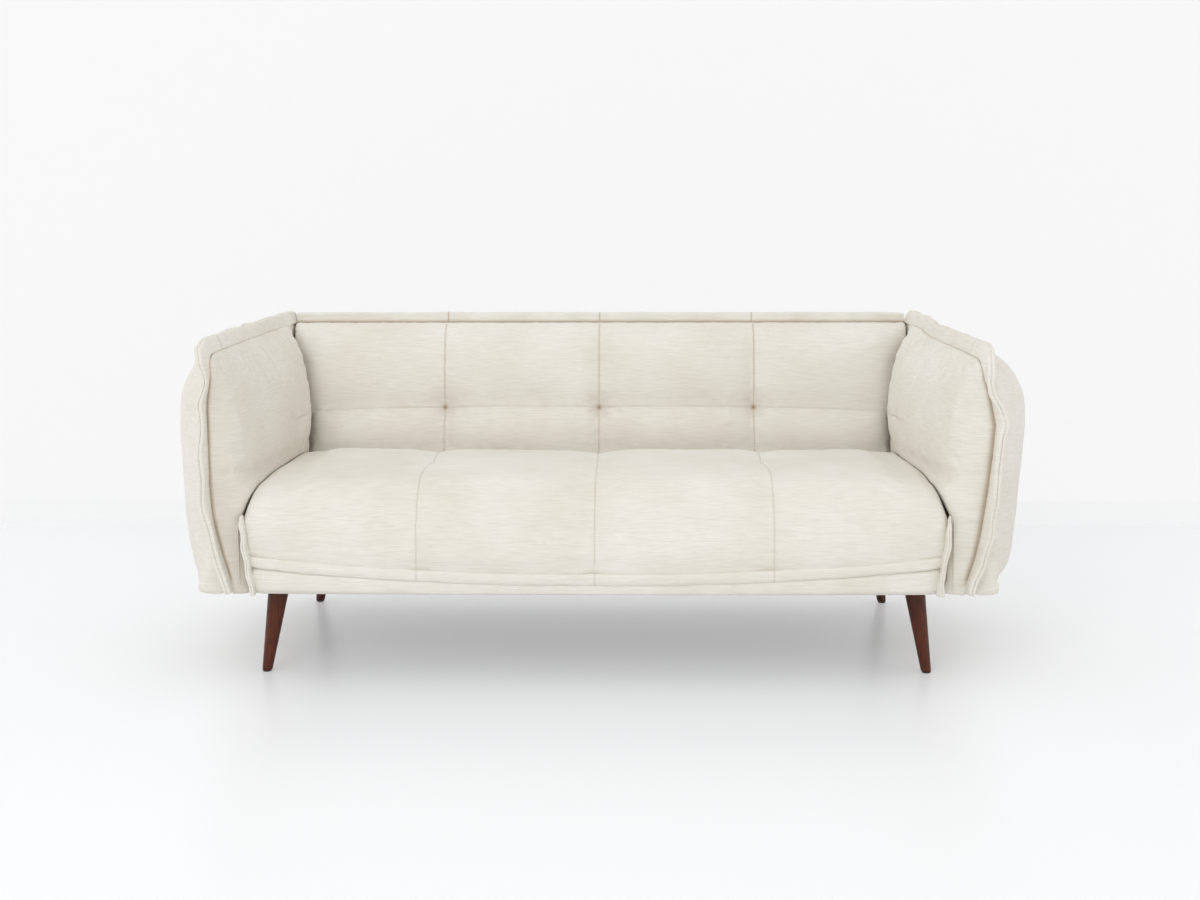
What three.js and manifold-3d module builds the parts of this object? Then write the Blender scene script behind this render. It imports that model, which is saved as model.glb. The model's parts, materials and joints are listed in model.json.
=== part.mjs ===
// Click clack sofa bed: fixed seat and arms, and a one-piece back that reclines level with the seat.
// Millimetres. X runs across the sofa, the front faces -Y, +Z is up, and the origin is on the floor
// under the middle of the sofa.
import * as THREE from "three";
import { mergeVertices } from "three/addons/utils/BufferGeometryUtils.js";
import Module from "manifold-3d";

const { clamp, degToRad, lerp } = THREE.MathUtils;

const wasm = await Module();
wasm.setup();

// Clearances and small shared sizes
const fitGap = 0.3;
const overrun = 10;
const mergeDistance = 0.001;
const wideRoundSides = 40;
const roundSides = 32;
const pinSides = 24;
const boltSides = 16;

// Seat cushion
const seatHalfWidth = 806;
const seatDrawIn = 24;
const seatCrown = 460;
const seatBeforeHinge = 132;
const seatFront = -430;
const seatShoulderBelow = 76;
const seatShoulderDrop = 68;
const seatShoulderWidth = 68;
const seatEndSetBack = 8;
const seamSpacing = 404;
const seatChannelDepth = 6;
const seatChannelWidth = 13;
const seatPuff = 5;

// Curved fold low on the seat front
const foldBandMiddle = 22;
const foldBandEnd = 21;
const foldLowMiddleUp = 22;
const foldLowEndUp = 64;
const foldCurvePower = 2.2;
const foldSetBack = 3;
const borderSetBack = 6;
const cornerFlangeWidth = 15;
const cornerFlangeThickness = 9;
const cornerFlangeWave = 2.5;
const cornerFlangeWaveLength = 60;

// Base frame
const upholsteryUnderside = 200;
const railSetUp = 5;
const railHeight = 80;
const railThickness = 25;
const rearRailHeight = 35;
const seatSideClearance = 6;
const frontRailSetBack = 35;
const rearRailBehindHinge = 99;
const seatBackRailSetIn = 5;
const hingeCheekRise = 70;
const hingeCheekLength = 135;
const hingeCheekSlope = 35;
const centreRailThickness = 24;
const slatThickness = 12;
const slatWidth = 62;
const slatCount = 4;
const slatEndClearance = 6;
const cornerBlockLength = 95;
const cornerBlockWidth = 88;
const frontBlockHeight = 62;
const rearBlockHeight = 33;
const dustCoverThickness = 1.2;

// Legs
const legTopRadius = 25;
const legFootRadius = 12;
const legSetIn = 66;
const frontLegSetBack = 77;
const rearLegSetIn = 27;
const legSplayX = 30;
const legSplayY = 25;
const legEdge = 1.5;
const glideHeight = 4;
const glideSetIn = 1;

// Arms: an upholstered board with an inner and an outer pad that meet in a ridge
const armBoardThickness = 48;
const armBoardFrontCover = 67;
const armBoardRearCover = 27;
const armBoardTopCover = 120;
const armBoardChamfer = 110;
const armFrontSetBack = 11;
const armRearBehindHinge = 126;
const armRidgeFrontHeight = 758;
const armRidgeRise = 18;
const armCorner = 46;
const armRidgeTopOut = 76;
const armRidgeMiddleOut = 64;
const armRidgeLowOut = 22;
const armRidgeTaper = 62;
const innerPadThickness = 104;
const innerFrontShare = 0.56;
const innerRampLength = 560;
const innerRampPower = 0.7;
const outerPadThickness = 157;
const innerNoseLength = 30;
const outerNoseLength = 420;
const outerNoseLow = 180;
const outerNoseFullShare = 0.5;
const rearNoseLength = 170;
const innerNosePower = 0.5;
const outerNosePower = 0.6;
const seatWellAboveShoulder = 8;
const armFlangeWidth = 25;
const armFlangeThickness = 13;
const armFlangeLean = 9;
const armFlangeWave = 2.2;
const armFlangeWaveLength = 110;
const armBoltRadius = 5;
const armBoltHeadLip = 4;
const armBoltHeadHeight = 5;
const armBoltReach = 35;
const armBoltUp = 40;
const armBoltPlaces = [-200, 45];

// Reclining back, in the hinge's own frame: n is forward of the hinge, s is up along the back
const hingeY = 246;
const hingeZ = 345;
const backLean = 14;
const backFace = 105;
const backCrown = 15;
const backSideClearance = 5.3;
const backLowSetIn = 4.9;
const backWideFrom = 186;
const backWideStep = 10;
const backTop = 432;
const backBottom = -100;
const backCornerRadius = 40;
const backTopPower = 2.4;
const backRidge = 16;
const backSideEdge = 58;
const backSideRound = 46;
const backSeam = 194;
const backSeamDepth = 7;
const backSeamWidth = 11;
const backChannelDepth = 7;
const backChannelWidth = 12;
const tuftDepth = 15;
const tuftRadius = 34;
const backFrameDepth = 44;
const backFrameTopCover = 27;
const backFrameBottomCover = 20;
const backRailHeight = 60;
const stileWidth = 30;
const centreStileWidth = 40;
const rearFace = 98;
const rearBulge = 133;
const rearBottomRadius = 99;
const rearSideEdge = 34;
const backFlangeHeight = 26;
const backFlangeThickness = 9;
const backFlangeWave = 2;
const backFlangeWaveLength = 130;
const overshoot = 4;
const sweepClearance = 3;

// Ratchet hinge
const plateThickness = 5;
const layerGap = 0.5;
const sectorRadius = 70;
const plateFootHalfWidth = 42;
const plateFootClearance = 1;
const notchDepth = 9;
const noseAngle = 28;
const noseClearance = 1.5;
const noseHalfAngle = 3.4;
const noseShoulderHalfAngle = 4.4;
const noseShoulderHeight = 12;
const notchClearance = 2.2;
const pawlPivotOut = 18;
const pawlSwing = 13;
const pawlHubWall = 5;
const pawlHubArc = [-100, 130];
const pawlBackWidth = 7;
const pawlPinRadius = 4;
const pawlPinHeadLip = 3;
const clickRecline = 30;
const flatRecline = 76;
const rivetRadius = 8;
const rivetHeadLip = 5;
const rivetHeadHeight = 3.5;
const movingArmHubWall = 16;
const movingArmWidth = 34;
const movingArmTopMargin = 27;
const movingArmBoltAt = 145;
const stileBoltRadius = 5;
const stileBoltHeadLip = 3;
const stileBoltHeadHeight = 4;
const pinPlay = 0.35;

// Sizes that follow from the ones above
const armFront = seatFront + armFrontSetBack;
const armRear = hingeY + armRearBehindHinge;
const seatShoulderHeight = seatCrown - seatShoulderBelow;
const seatRear = hingeY - seatBeforeHinge;
const seatWellHeight = seatShoulderHeight + seatWellAboveShoulder;
const foldLowMiddle = upholsteryUnderside + foldLowMiddleUp;
const foldLowEnd = upholsteryUnderside + foldLowEndUp;
const foldTopMiddle = foldLowMiddle + foldBandMiddle;
const foldTopEnd = foldLowEnd + foldBandEnd;
const railUnderside = upholsteryUnderside + railSetUp;
const frontRailFront = seatFront + frontRailSetBack;
const rearRailRear = hingeY + rearRailBehindHinge;
const hingeCheekHeight = hingeZ + hingeCheekRise;
const legTopX = seatHalfWidth - legSetIn;
const frontLegTopY = frontRailFront + frontLegSetBack;
const rearLegTopY = rearRailRear - rearLegSetIn;
const glideRadius = legFootRadius - glideSetIn;
const armBoardFront = armFront + armBoardFrontCover;
const armBoardRear = armRear - armBoardRearCover;
const armRidgeRearHeight = armRidgeFrontHeight + armRidgeRise;
const armBoardTop = armRidgeFrontHeight - armBoardTopCover;
const armRidgeTopX = seatHalfWidth + armRidgeTopOut;
const armRidgeMiddleX = seatHalfWidth + armRidgeMiddleOut;
const armRidgeLowX = seatHalfWidth + armRidgeLowOut;
const armBoltHeadRadius = armBoltRadius + armBoltHeadLip;
const armBoltHeight = railUnderside + armBoltUp;
const backFrameTop = backTop - backFrameTopCover;
const backFrameBottom = backBottom + backFrameBottomCover;
const pawlPivotRadius = sectorRadius + pawlPivotOut;
const pawlHubRadius = pawlPinRadius + pawlHubWall;
const pawlPinHeadRadius = pawlPinRadius + pawlPinHeadLip;
const rivetHeadRadius = rivetRadius + rivetHeadLip;
const movingArmHubRadius = rivetRadius + movingArmHubWall;
const movingArmTop = movingArmBoltAt + movingArmTopMargin;
const stileBoltHeadRadius = stileBoltRadius + stileBoltHeadLip;
const railTop = railUnderside + railHeight;
const sideRailOuter = seatHalfWidth + seatSideClearance;
const seatArmClearance = cornerFlangeWave + fitGap;
const sideRailInner = sideRailOuter - railThickness;
const sideRailFront = frontRailFront + railThickness + fitGap;
const sideRailRear = rearRailRear - railThickness - fitGap;
const seatBackRailRear = seatRear - seatBackRailSetIn;
const seatBackRailFront = seatBackRailRear - railThickness;
const betweenSideRails = sideRailInner - fitGap;
const slatUnderside = railTop + fitGap;
const slatTop = slatUnderside + slatThickness;
const cushionUnderside = slatTop + fitGap;
const armBoardInner = sideRailOuter + fitGap;
const armBoardOuter = armBoardInner + armBoardThickness;
const armUnderside = railUnderside;
const dustCoverUnderside = railUnderside - fitGap - dustCoverThickness;
const legTop = dustCoverUnderside - fitGap;
const fixedPlateOuter = sideRailInner - fitGap;
const fixedPlateInner = fixedPlateOuter - plateThickness;
const movingArmOuter = fixedPlateInner - layerGap;
const movingArmInner = movingArmOuter - plateThickness;
const stileOuter = movingArmInner - fitGap;
const stileInner = stileOuter - stileWidth;
const backHalfWidth = armBoardInner - backSideClearance;
const backLowHalfWidth = stileOuter - backLowSetIn;
const plateFootUnderside = railUnderside + rearBlockHeight + plateFootClearance;
const halfFrame = backFrameDepth / 2;
const frontLiningY = frontRailFront - fitGap;

// Materials
const linen = () => new THREE.MeshStandardMaterial({ color: 0xe2ddd0, roughness: 0.95 });
const walnut = () => new THREE.MeshStandardMaterial({ color: 0x5a2e22, roughness: 0.35 });
const pine = () => new THREE.MeshStandardMaterial({ color: 0xcaa873, roughness: 0.75 });
const steel = () => new THREE.MeshStandardMaterial({ color: 0x8d9094, roughness: 0.4, metalness: 0.9 });
const blackCloth = () => new THREE.MeshStandardMaterial({ color: 0x22201f, roughness: 1 });
const nylon = () => new THREE.MeshStandardMaterial({ color: 0x3a3634, roughness: 0.6 });

// Meshes, solids and booleans
function bareGeometry(geometry) {
  const bare = new THREE.BufferGeometry();
  bare.setAttribute("position", geometry.getAttribute("position"));
  if (geometry.index) bare.setIndex(geometry.index);
  return mergeVertices(bare, mergeDistance);
}

function toSolid(geometry) {
  const merged = bareGeometry(geometry);
  const vertProperties = merged.attributes.position.array;
  const triVerts = new Uint32Array(merged.index.array);
  return new wasm.Manifold(new wasm.Mesh({ numProp: 3, vertProperties, triVerts }));
}

function toGeometry(solid) {
  const { vertProperties, triVerts } = solid.getMesh();
  const geometry = new THREE.BufferGeometry();
  geometry.setAttribute("position", new THREE.BufferAttribute(vertProperties, 3));
  geometry.setIndex(new THREE.BufferAttribute(triVerts, 1));
  return geometry;
}

function cut(body, ...tools) {
  return toGeometry(tools.reduce((rest, tool) => rest.subtract(toSolid(tool)), toSolid(body)));
}

function join(body, ...others) {
  return toGeometry(others.reduce((sum, other) => sum.add(toSolid(other)), toSolid(body)));
}

// A closed surface from points and faces. Faces that have shrunk to a line are left out, and the
// whole is turned to face outwards.
function closedSurface(points, faces) {
  const raw = new THREE.BufferGeometry();
  raw.setAttribute("position", new THREE.Float32BufferAttribute(points.flat(), 3));
  raw.setIndex(faces.flat());
  const merged = mergeVertices(raw, mergeDistance);
  const all = Array.from(merged.index.array);
  const kept = [];
  for (let i = 0; i < all.length; i += 3) {
    const [a, b, c] = all.slice(i, i + 3);
    if (a !== b && b !== c && a !== c) kept.push([a, b, c]);
  }
  const at = merged.getAttribute("position");
  const corner = (i) => new THREE.Vector3().fromBufferAttribute(at, i);
  const volume = kept.reduce((sum, [a, b, c]) => sum + corner(a).dot(corner(b).cross(corner(c))), 0);
  const facing = volume < 0 ? kept.map(([a, b, c]) => [a, c, b]) : kept;
  merged.setIndex(facing.flat());
  return merged;
}

function capFaces(ring, first) {
  const normal = new THREE.Vector3();
  ring.forEach(([x, y, z], i) => {
    const [u, v, w] = ring[(i + 1) % ring.length];
    normal.x += (y - v) * (z + w);
    normal.y += (z - w) * (x + u);
    normal.z += (x - u) * (y + v);
  });
  const sizes = normal.toArray().map(Math.abs);
  const dropped = sizes.indexOf(Math.max(...sizes));
  const kept = [0, 1, 2].filter((axis) => axis !== dropped);
  const flat = ring.map((point) => new THREE.Vector2(point[kept[0]], point[kept[1]]));
  return THREE.ShapeUtils.triangulateShape(flat, []).map((face) => face.map((i) => first + i));
}

function orient(faces, forward) {
  return forward ? faces : faces.map(([a, b, c]) => [a, c, b]);
}

function directedEdges(faces) {
  return faces.flatMap(([a, b, c]) => [`${a},${b}`, `${b},${c}`, `${c},${a}`]);
}

// A body through rings that all have the same number of points, closed at both ends
function loft(rings) {
  const count = rings[0].length;
  const faces = [];
  for (let i = 0; i + 1 < rings.length; i += 1) {
    for (let j = 0; j < count; j += 1) {
      const a = i * count + j;
      const b = i * count + ((j + 1) % count);
      faces.push([a, b, b + count], [a, b + count, a + count]);
    }
  }
  const wall = new Set(directedEdges(faces));
  [0, rings.length - 1].forEach((i) => {
    const cap = capFaces(rings[i], i * count);
    const against = directedEdges(cap).some((edge) => wall.has(edge));
    faces.push(...orient(cap, !against));
  });
  return closedSurface(rings.flat(), faces);
}

function gridFaces(rows, columns, first, forward) {
  const faces = [];
  for (let i = 0; i + 1 < rows; i += 1) {
    for (let j = 0; j + 1 < columns; j += 1) {
      const a = first + i * columns + j;
      faces.push([a, a + 1, a + columns + 1], [a, a + columns + 1, a + columns]);
    }
  }
  return orient(faces, forward);
}

function gridRim(rows, columns) {
  const rim = [];
  for (let j = 0; j < columns - 1; j += 1) rim.push(j);
  for (let i = 0; i < rows - 1; i += 1) rim.push(i * columns + columns - 1);
  for (let j = columns - 1; j > 0; j -= 1) rim.push((rows - 1) * columns + j);
  for (let i = rows - 1; i > 0; i -= 1) rim.push(i * columns);
  return rim;
}

// A body between two grids of points, with a wall along their rims
function between(gridA, gridB) {
  const rows = gridA.length;
  const columns = gridA[0].length;
  const size = rows * columns;
  const faces = [...gridFaces(rows, columns, 0, true), ...gridFaces(rows, columns, size, false)];
  const rim = gridRim(rows, columns);
  rim.forEach((a, i) => {
    const b = rim[(i + 1) % rim.length];
    faces.push([b, a, a + size], [b, a + size, b + size]);
  });
  return closedSurface([...gridA.flat(), ...gridB.flat()], faces);
}

// A body under a grid of points, with a wall from its rim down to a flat lid. The lid is a fan across
// the first row and the last, and two faces for each row between.
function onFlat(grid, flatten) {
  const rows = grid.length;
  const columns = grid[0].length;
  const points = grid.flat();
  const faces = gridFaces(rows, columns, 0, true);
  const rim = gridRim(rows, columns);
  const size = points.length;
  const lidOf = new Map(rim.map((place, i) => [place, size + i]));
  rim.forEach((a, i) => {
    const b = rim[(i + 1) % rim.length];
    faces.push([b, a, lidOf.get(a)], [b, lidOf.get(a), lidOf.get(b)]);
  });
  const lidAt = (row, column) => lidOf.get(row * columns + column);
  const left = (row) => lidAt(row, 0);
  const right = (row) => lidAt(row, columns - 1);
  const top = rows - 1;
  const lid = [[left(1), right(0), right(1)], [left(top - 1), right(top - 1), left(top)]];
  for (let j = 0; j + 1 < columns; j += 1) {
    lid.push([lidAt(0, j), lidAt(0, j + 1), left(1)]);
    lid.push([lidAt(top, j + 1), lidAt(top, j), right(top - 1)]);
  }
  for (let i = 1; i + 1 < top; i += 1) {
    lid.push([left(i), right(i), right(i + 1)], [left(i), right(i + 1), left(i + 1)]);
  }
  faces.push(...orient(lid, false));
  return closedSurface([...points, ...rim.map((place) => flatten(points[place]))], faces);
}

function boxGeometry([x0, x1], [y0, y1], [z0, z1]) {
  const box = new THREE.BoxGeometry(x1 - x0, y1 - y0, z1 - z0);
  return box.translate((x0 + x1) / 2, (y0 + y1) / 2, (z0 + z1) / 2);
}

// The right-hand piece as it is, or the same piece mirrored to the left
function onSide(geometry, side) {
  if (side > 0) return geometry;
  const mirrored = bareGeometry(geometry).scale(-1, 1, 1);
  const index = Array.from(mirrored.index.array);
  for (let i = 0; i < index.length; i += 3) [index[i + 1], index[i + 2]] = [index[i + 2], index[i + 1]];
  mirrored.setIndex(index);
  return mirrored;
}

// An outline in Y and Z, extruded across X
function acrossX(outline, x0, x1, holes = []) {
  const shape = new THREE.Shape(outline.map(([y, z]) => new THREE.Vector2(y, z)));
  holes.forEach((hole) => shape.holes.push(new THREE.Path(hole.map(([y, z]) => new THREE.Vector2(y, z)))));
  const geometry = new THREE.ExtrudeGeometry(shape, { depth: x1 - x0, bevelEnabled: false });
  const axes = new THREE.Matrix4().makeBasis(
    new THREE.Vector3(0, 1, 0),
    new THREE.Vector3(0, 0, 1),
    new THREE.Vector3(1, 0, 0),
  );
  return geometry.applyMatrix4(axes).translate(x0, 0, 0);
}

function circle(y, z, radius, sides) {
  return Array.from({ length: sides }, (_, i) => {
    const turn = (i / sides) * 2 * Math.PI;
    return [y + radius * Math.cos(turn), z + radius * Math.sin(turn)];
  });
}

// A turned piece with its axis along X, from radius and x pairs that start and end on the axis
function turnedAlongX(profile, y, z, sides) {
  const points = profile.map(([radius, x]) => new THREE.Vector2(radius, x));
  return new THREE.LatheGeometry(points, sides).rotateZ(-Math.PI / 2).translate(0, y, z);
}

function cylinderAlongX(radius, x0, x1, y, z, sides) {
  return turnedAlongX([[0, x0], [radius, x0], [radius, x1], [0, x1]], y, z, sides);
}

function addPiece(group, name, geometry, material) {
  geometry.computeVertexNormals();
  const mesh = new THREE.Mesh(geometry, material);
  mesh.name = name;
  group.add(mesh);
  return mesh;
}

const sofa = new THREE.Group();
const sides = { left: -1, right: 1 };

// Base frame
function addRails() {
  const rail = (name, xs, ys, zs) => addPiece(sofa, name, boxGeometry(xs, ys, zs), pine());
  const across = [-sideRailOuter, sideRailOuter];
  const inside = [-betweenSideRails, betweenSideRails];
  const railZ = [railUnderside, railTop];
  rail("front_rail", across, [frontRailFront, frontRailFront + railThickness], railZ);
  rail("seat_back_rail", inside, [seatBackRailFront, seatBackRailRear], railZ);
  const rearZ = [railUnderside, railUnderside + rearRailHeight];
  rail("rear_rail", across, [rearRailRear - railThickness, rearRailRear], rearZ);
  const halfCentre = centreRailThickness / 2;
  const centreY = [sideRailFront, seatBackRailFront - fitGap];
  rail("centre_rail", [-halfCentre, halfCentre], centreY, railZ);
}

function boltHoles(radius) {
  return armBoltPlaces.map((y) => circle(y, armBoltHeight, radius, boltSides));
}

// Each side rail rises behind the seat to back the fixed plate of the hinge
function addSideRail(label, side) {
  const cheekFront = sideRailRear - hingeCheekLength;
  const outline = [
    [sideRailFront, railUnderside],
    [sideRailRear, railUnderside],
    [sideRailRear, hingeCheekHeight],
    [cheekFront, hingeCheekHeight],
    [cheekFront - hingeCheekSlope, railTop],
    [sideRailFront, railTop],
  ];
  const rail = acrossX(outline, sideRailInner, sideRailOuter, boltHoles(armBoltRadius + pinPlay));
  const pocketX = [sideRailInner - overrun, sideRailInner + rivetHeadHeight + layerGap];
  const pocket = cylinderAlongX(rivetHeadRadius + layerGap, ...pocketX, hingeY, hingeZ, roundSides);
  addPiece(sofa, `${label}_side_rail`, onSide(cut(rail, pocket), side), pine());
}

function addSlats() {
  const halfLength = sideRailOuter - slatEndClearance;
  const first = sideRailFront;
  const last = seatBackRailFront - slatWidth;
  for (let i = 0; i < slatCount; i += 1) {
    const y = lerp(first, last, i / (slatCount - 1));
    const slat = boxGeometry([-halfLength, halfLength], [y, y + slatWidth], [slatUnderside, slatTop]);
    addPiece(sofa, `seat_slat_${i + 1}`, slat, pine());
  }
}

function addCornerBlocks(label, side) {
  const x = [betweenSideRails - cornerBlockWidth, betweenSideRails];
  const frontY = [sideRailFront, sideRailFront + cornerBlockLength];
  const rearEnd = rearRailRear - railThickness - fitGap;
  const rearY = [rearEnd - cornerBlockLength, rearEnd];
  const front = boxGeometry(x, frontY, [railUnderside, railUnderside + frontBlockHeight]);
  const rear = boxGeometry(x, rearY, [railUnderside, railUnderside + rearBlockHeight]);
  addPiece(sofa, `${label}_front_corner_block`, onSide(front, side), pine());
  addPiece(sofa, `${label}_rear_corner_block`, onSide(rear, side), pine());
}

function addDustCover() {
  const x = [-sideRailOuter, sideRailOuter];
  const y = [frontRailFront, rearRailRear];
  const z = [dustCoverUnderside, dustCoverUnderside + dustCoverThickness];
  addPiece(sofa, "dust_cover", boxGeometry(x, y, z), blackCloth());
}

// Legs, turned to a straight taper and splayed outwards
function addLeg(name, side, end, topY) {
  const bottom = glideHeight + fitGap;
  const profile = [
    [0, bottom],
    [legFootRadius - legEdge, bottom],
    [legFootRadius, bottom + legEdge],
    [legTopRadius, legTop - legEdge],
    [legTopRadius - legEdge, legTop],
    [0, legTop],
  ];
  const points = profile.map(([radius, z]) => new THREE.Vector2(radius, z));
  const leg = new THREE.LatheGeometry(points, roundSides).rotateX(Math.PI / 2);
  const splay = new THREE.Matrix4().set(
    1, 0, -legSplayX / legTop, legTopX + legSplayX,
    0, 1, (-end * legSplayY) / legTop, topY + end * legSplayY,
    0, 0, 1, 0,
    0, 0, 0, 1,
  );
  addPiece(sofa, `${name}_leg`, onSide(leg.applyMatrix4(splay), side), walnut());
  const glide = new THREE.CylinderGeometry(glideRadius, glideRadius - legEdge, glideHeight, pinSides);
  glide.rotateX(Math.PI / 2).translate(legTopX + legSplayX, topY + end * legSplayY, glideHeight / 2);
  addPiece(sofa, `${name}_leg_glide`, onSide(glide, side), nylon());
}

// Seat forms
function bump(distance, width) {
  return Math.exp(-((distance / width) ** 2));
}

function seamDistance(x) {
  return Math.min(...[-seamSpacing, 0, seamSpacing].map((seam) => Math.abs(x - seam)));
}

function panelPuff(x) {
  return Math.sqrt(Math.abs(Math.sin((Math.PI * x) / seamSpacing)));
}

function foldHeight(x, middle, end) {
  return middle + (end - middle) * Math.abs(x / seatHalfWidth) ** foldCurvePower;
}

function drawnX(x, z) {
  const low = Math.max(0, seatShoulderHeight - z) / (seatShoulderHeight - upholsteryUnderside);
  return x * (1 - (seatDrawIn / seatHalfWidth) * low);
}

function shoulder(x) {
  const into = Math.max(0, Math.abs(x) - (seatHalfWidth - seatShoulderWidth)) / seatShoulderWidth;
  return 1 - Math.sqrt(Math.max(0, 1 - into ** 2));
}

// The seat's front and top in shares: how far back from the front, and how high from the fold
const seatProfileShares = [
  [0.012, 0],
  [0.002, 0.18],
  [0, 0.34],
  [0.006, 0.52],
  [0.022, 0.68],
  [0.06, 0.82],
  [0.13, 0.92],
  [0.24, 0.97],
  [0.42, 1],
  [0.64, 1],
  [0.86, 1],
  [0.955, 0.99],
  [0.99, 0.95],
  [1, 0.85],
];

// Stations about each seam, in shares of half a panel, then out to the cushion's end
const seamStationShares = [-1, -0.594, -0.297, -0.129, -0.045, 0, 0.045, 0.129, 0.297, 0.594];
const edgeShares = [0, 0.3, 0.55, 0.75, 0.9, 1];

function seatStations() {
  const half = seamSpacing / 2;
  const stations = [-seamSpacing, 0, seamSpacing].flatMap((seam) =>
    seamStationShares.map((share) => seam + share * half),
  );
  const edge = edgeShares.map((share) => lerp(seamSpacing + half, seatHalfWidth, share));
  const firstStations = stations.filter((x) => x > -seamSpacing - half);
  return [...edge.map((x) => -x).reverse(), ...firstStations, ...edge];
}

function seatSection(x) {
  const fold = foldHeight(x, foldTopMiddle, foldTopEnd);
  const channel = seatChannelDepth * bump(seamDistance(x), seatChannelWidth);
  const puff = seatPuff * (panelPuff(x) - 1);
  const side = shoulder(x);
  const front = seatFront + channel + side * seatEndSetBack - puff / 2;
  const crown = seatCrown - channel + puff - side * seatShoulderDrop;
  const outside = seatProfileShares.map(([back, up]) => {
    const y = lerp(front, seatRear, back);
    const z = lerp(fold, crown, up);
    return [drawnX(x, z), y, z];
  });
  const under = [
    [seatRear - seatEndSetBack, cushionUnderside],
    [frontLiningY, cushionUnderside],
    [frontLiningY, fold],
  ];
  return [...outside, ...under.map(([y, z]) => [drawnX(x, z), y, z])];
}

// A strip across the seat front, between two heights, with the cushion's own stations
function frontStrip(setBack, lowAt, highAt) {
  const rings = seatStations().map((x) => {
    const low = lowAt(x);
    const high = highAt(x);
    const front = seatFront + setBack + shoulder(x) * seatEndSetBack;
    const round = (high - low) / 5;
    const section = [
      [frontLiningY, low],
      [front + round, low],
      [front, low + round],
      [front, high - round],
      [front + round, high],
      [frontLiningY, high],
    ];
    return section.map(([y, z]) => [drawnX(x, z), y, z]);
  });
  return loft(rings);
}

function addSeat() {
  addPiece(sofa, "seat_cushion", loft(seatStations().map(seatSection)), linen());
  const foldLow = (x) => foldHeight(x, foldLowMiddle, foldLowEnd);
  const foldHigh = (x) => foldHeight(x, foldTopMiddle, foldTopEnd);
  const band = frontStrip(foldSetBack, (x) => foldLow(x) + fitGap, (x) => foldHigh(x) - fitGap);
  addPiece(sofa, "seat_front_fold", band, linen());
  const border = frontStrip(borderSetBack, () => upholsteryUnderside, (x) => foldLow(x));
  addPiece(sofa, "seat_front_border", border, linen());
}

// The double-layer flange that stands forward from the seat's front corner
function addCornerFlange(label, side) {
  const [innerStation, outerStation] = seatStations().slice(-2);
  const nearEnd = seatHalfWidth - cornerFlangeThickness;
  const towardsEnd = (nearEnd - innerStation) / (outerStation - innerStation);
  const outer = seatSection(outerStation);
  const line = seatSection(innerStation)
    .slice(0, seatProfileShares.length)
    .map(([, y, z], i) => [
      lerp(y, outer[i][1], towardsEnd),
      lerp(z, outer[i][2], towardsEnd),
    ]);
  const endSetBack = lerp(shoulder(innerStation), shoulder(outerStation), towardsEnd);
  const frontAt = (z) => {
    const above = line.findIndex(([, height]) => height >= z);
    if (above < 1) return seatFront + foldSetBack + endSetBack * seatEndSetBack;
    return Math.min(line[above - 1][0], line[above][0]);
  };
  const steps = 18;
  const top = seatShoulderHeight - fitGap;
  const half = cornerFlangeThickness / 2;
  const rings = Array.from({ length: steps + 1 }, (_, i) => {
    const z = lerp(upholsteryUnderside, top, i / steps);
    const wave = cornerFlangeWave * Math.sin((2 * Math.PI * z) / cornerFlangeWaveLength);
    const x = drawnX(seatHalfWidth, z) - half;
    const root = frontAt(z) - fitGap;
    const tip = root - cornerFlangeWidth;
    return [
      [x - half, root, z],
      [x + half, root, z],
      [x + half + wave, tip, z],
      [x - half + wave, tip, z],
    ];
  });
  addPiece(sofa, `${label}_seat_corner_flange`, onSide(loft(rings), side), linen());
}

// Arms
const armDepth = armRear - armFront;

// Shares of the arm's depth and height at which its forms are given
const armDepthShares = [
  0, 0.006, 0.02, 0.045, 0.08, 0.13, 0.2, 0.3, 0.42, 0.55, 0.68, 0.8, 0.89, 0.95, 0.985, 1,
];
// Height share, then the inner and outer thickness shares at that height
const armHeightShares = [
  [0, 0.42, 0.74],
  [0.14, 0.49, 0.86],
  [0.3, 0.54, 0.93],
  [0.36, 0.66, 0.94],
  [0.4, 0.84, 0.95],
  [0.425, 0.94, 0.96],
  [0.452, 0.98, 0.97],
  [0.54, 1, 0.99],
  [0.64, 1, 1],
  [0.72, 0.94, 0.98],
  [0.8, 0.83, 0.94],
  [0.87, 0.69, 0.835],
  [0.93, 0.5, 0.65],
  [0.975, 0.28, 0.4],
  [1, 0, 0],
];
const seatLevelShare = 0.36;
const fullSwellShare = 0.452;

function nose(distance, length, power) {
  const into = Math.min(1, Math.max(0, distance / length));
  return Math.sin((into * Math.PI) / 2) ** power;
}

function armTopAt(y) {
  const slope = lerp(armRidgeFrontHeight, armRidgeRearHeight, (y - armFront) / armDepth);
  const toEnd = Math.min(y - armFront, armRear - y);
  const into = Math.max(0, armCorner - toEnd) / armCorner;
  return slope - armCorner * (1 - Math.sqrt(Math.max(0, 1 - into ** 2)));
}

function ridgeX(y, z) {
  const up = (z - armUnderside) / (armRidgeFrontHeight - armUnderside);
  const low = 2 * (up - 0.5) * (up - 1) * armRidgeLowX;
  const middle = -4 * up * (up - 1) * armRidgeMiddleX;
  const top = 2 * up * (up - 0.5) * armRidgeTopX;
  return low + middle + top - (armRidgeTaper * up * (y - armFront)) / armDepth;
}

// One side of the arm as a grid of points: offset is the signed thickness at a place
function armGrid(offsetAt) {
  return armDepthShares.map((depthShare) => {
    const y = armFront + depthShare * armDepth;
    const top = armTopAt(y);
    return armHeightShares.map(([heightShare, inner, outer]) => {
      const z = lerp(armUnderside, top, heightShare);
      return [ridgeX(y, z) + offsetAt(y, heightShare, inner, outer), y, z];
    });
  });
}

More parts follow.
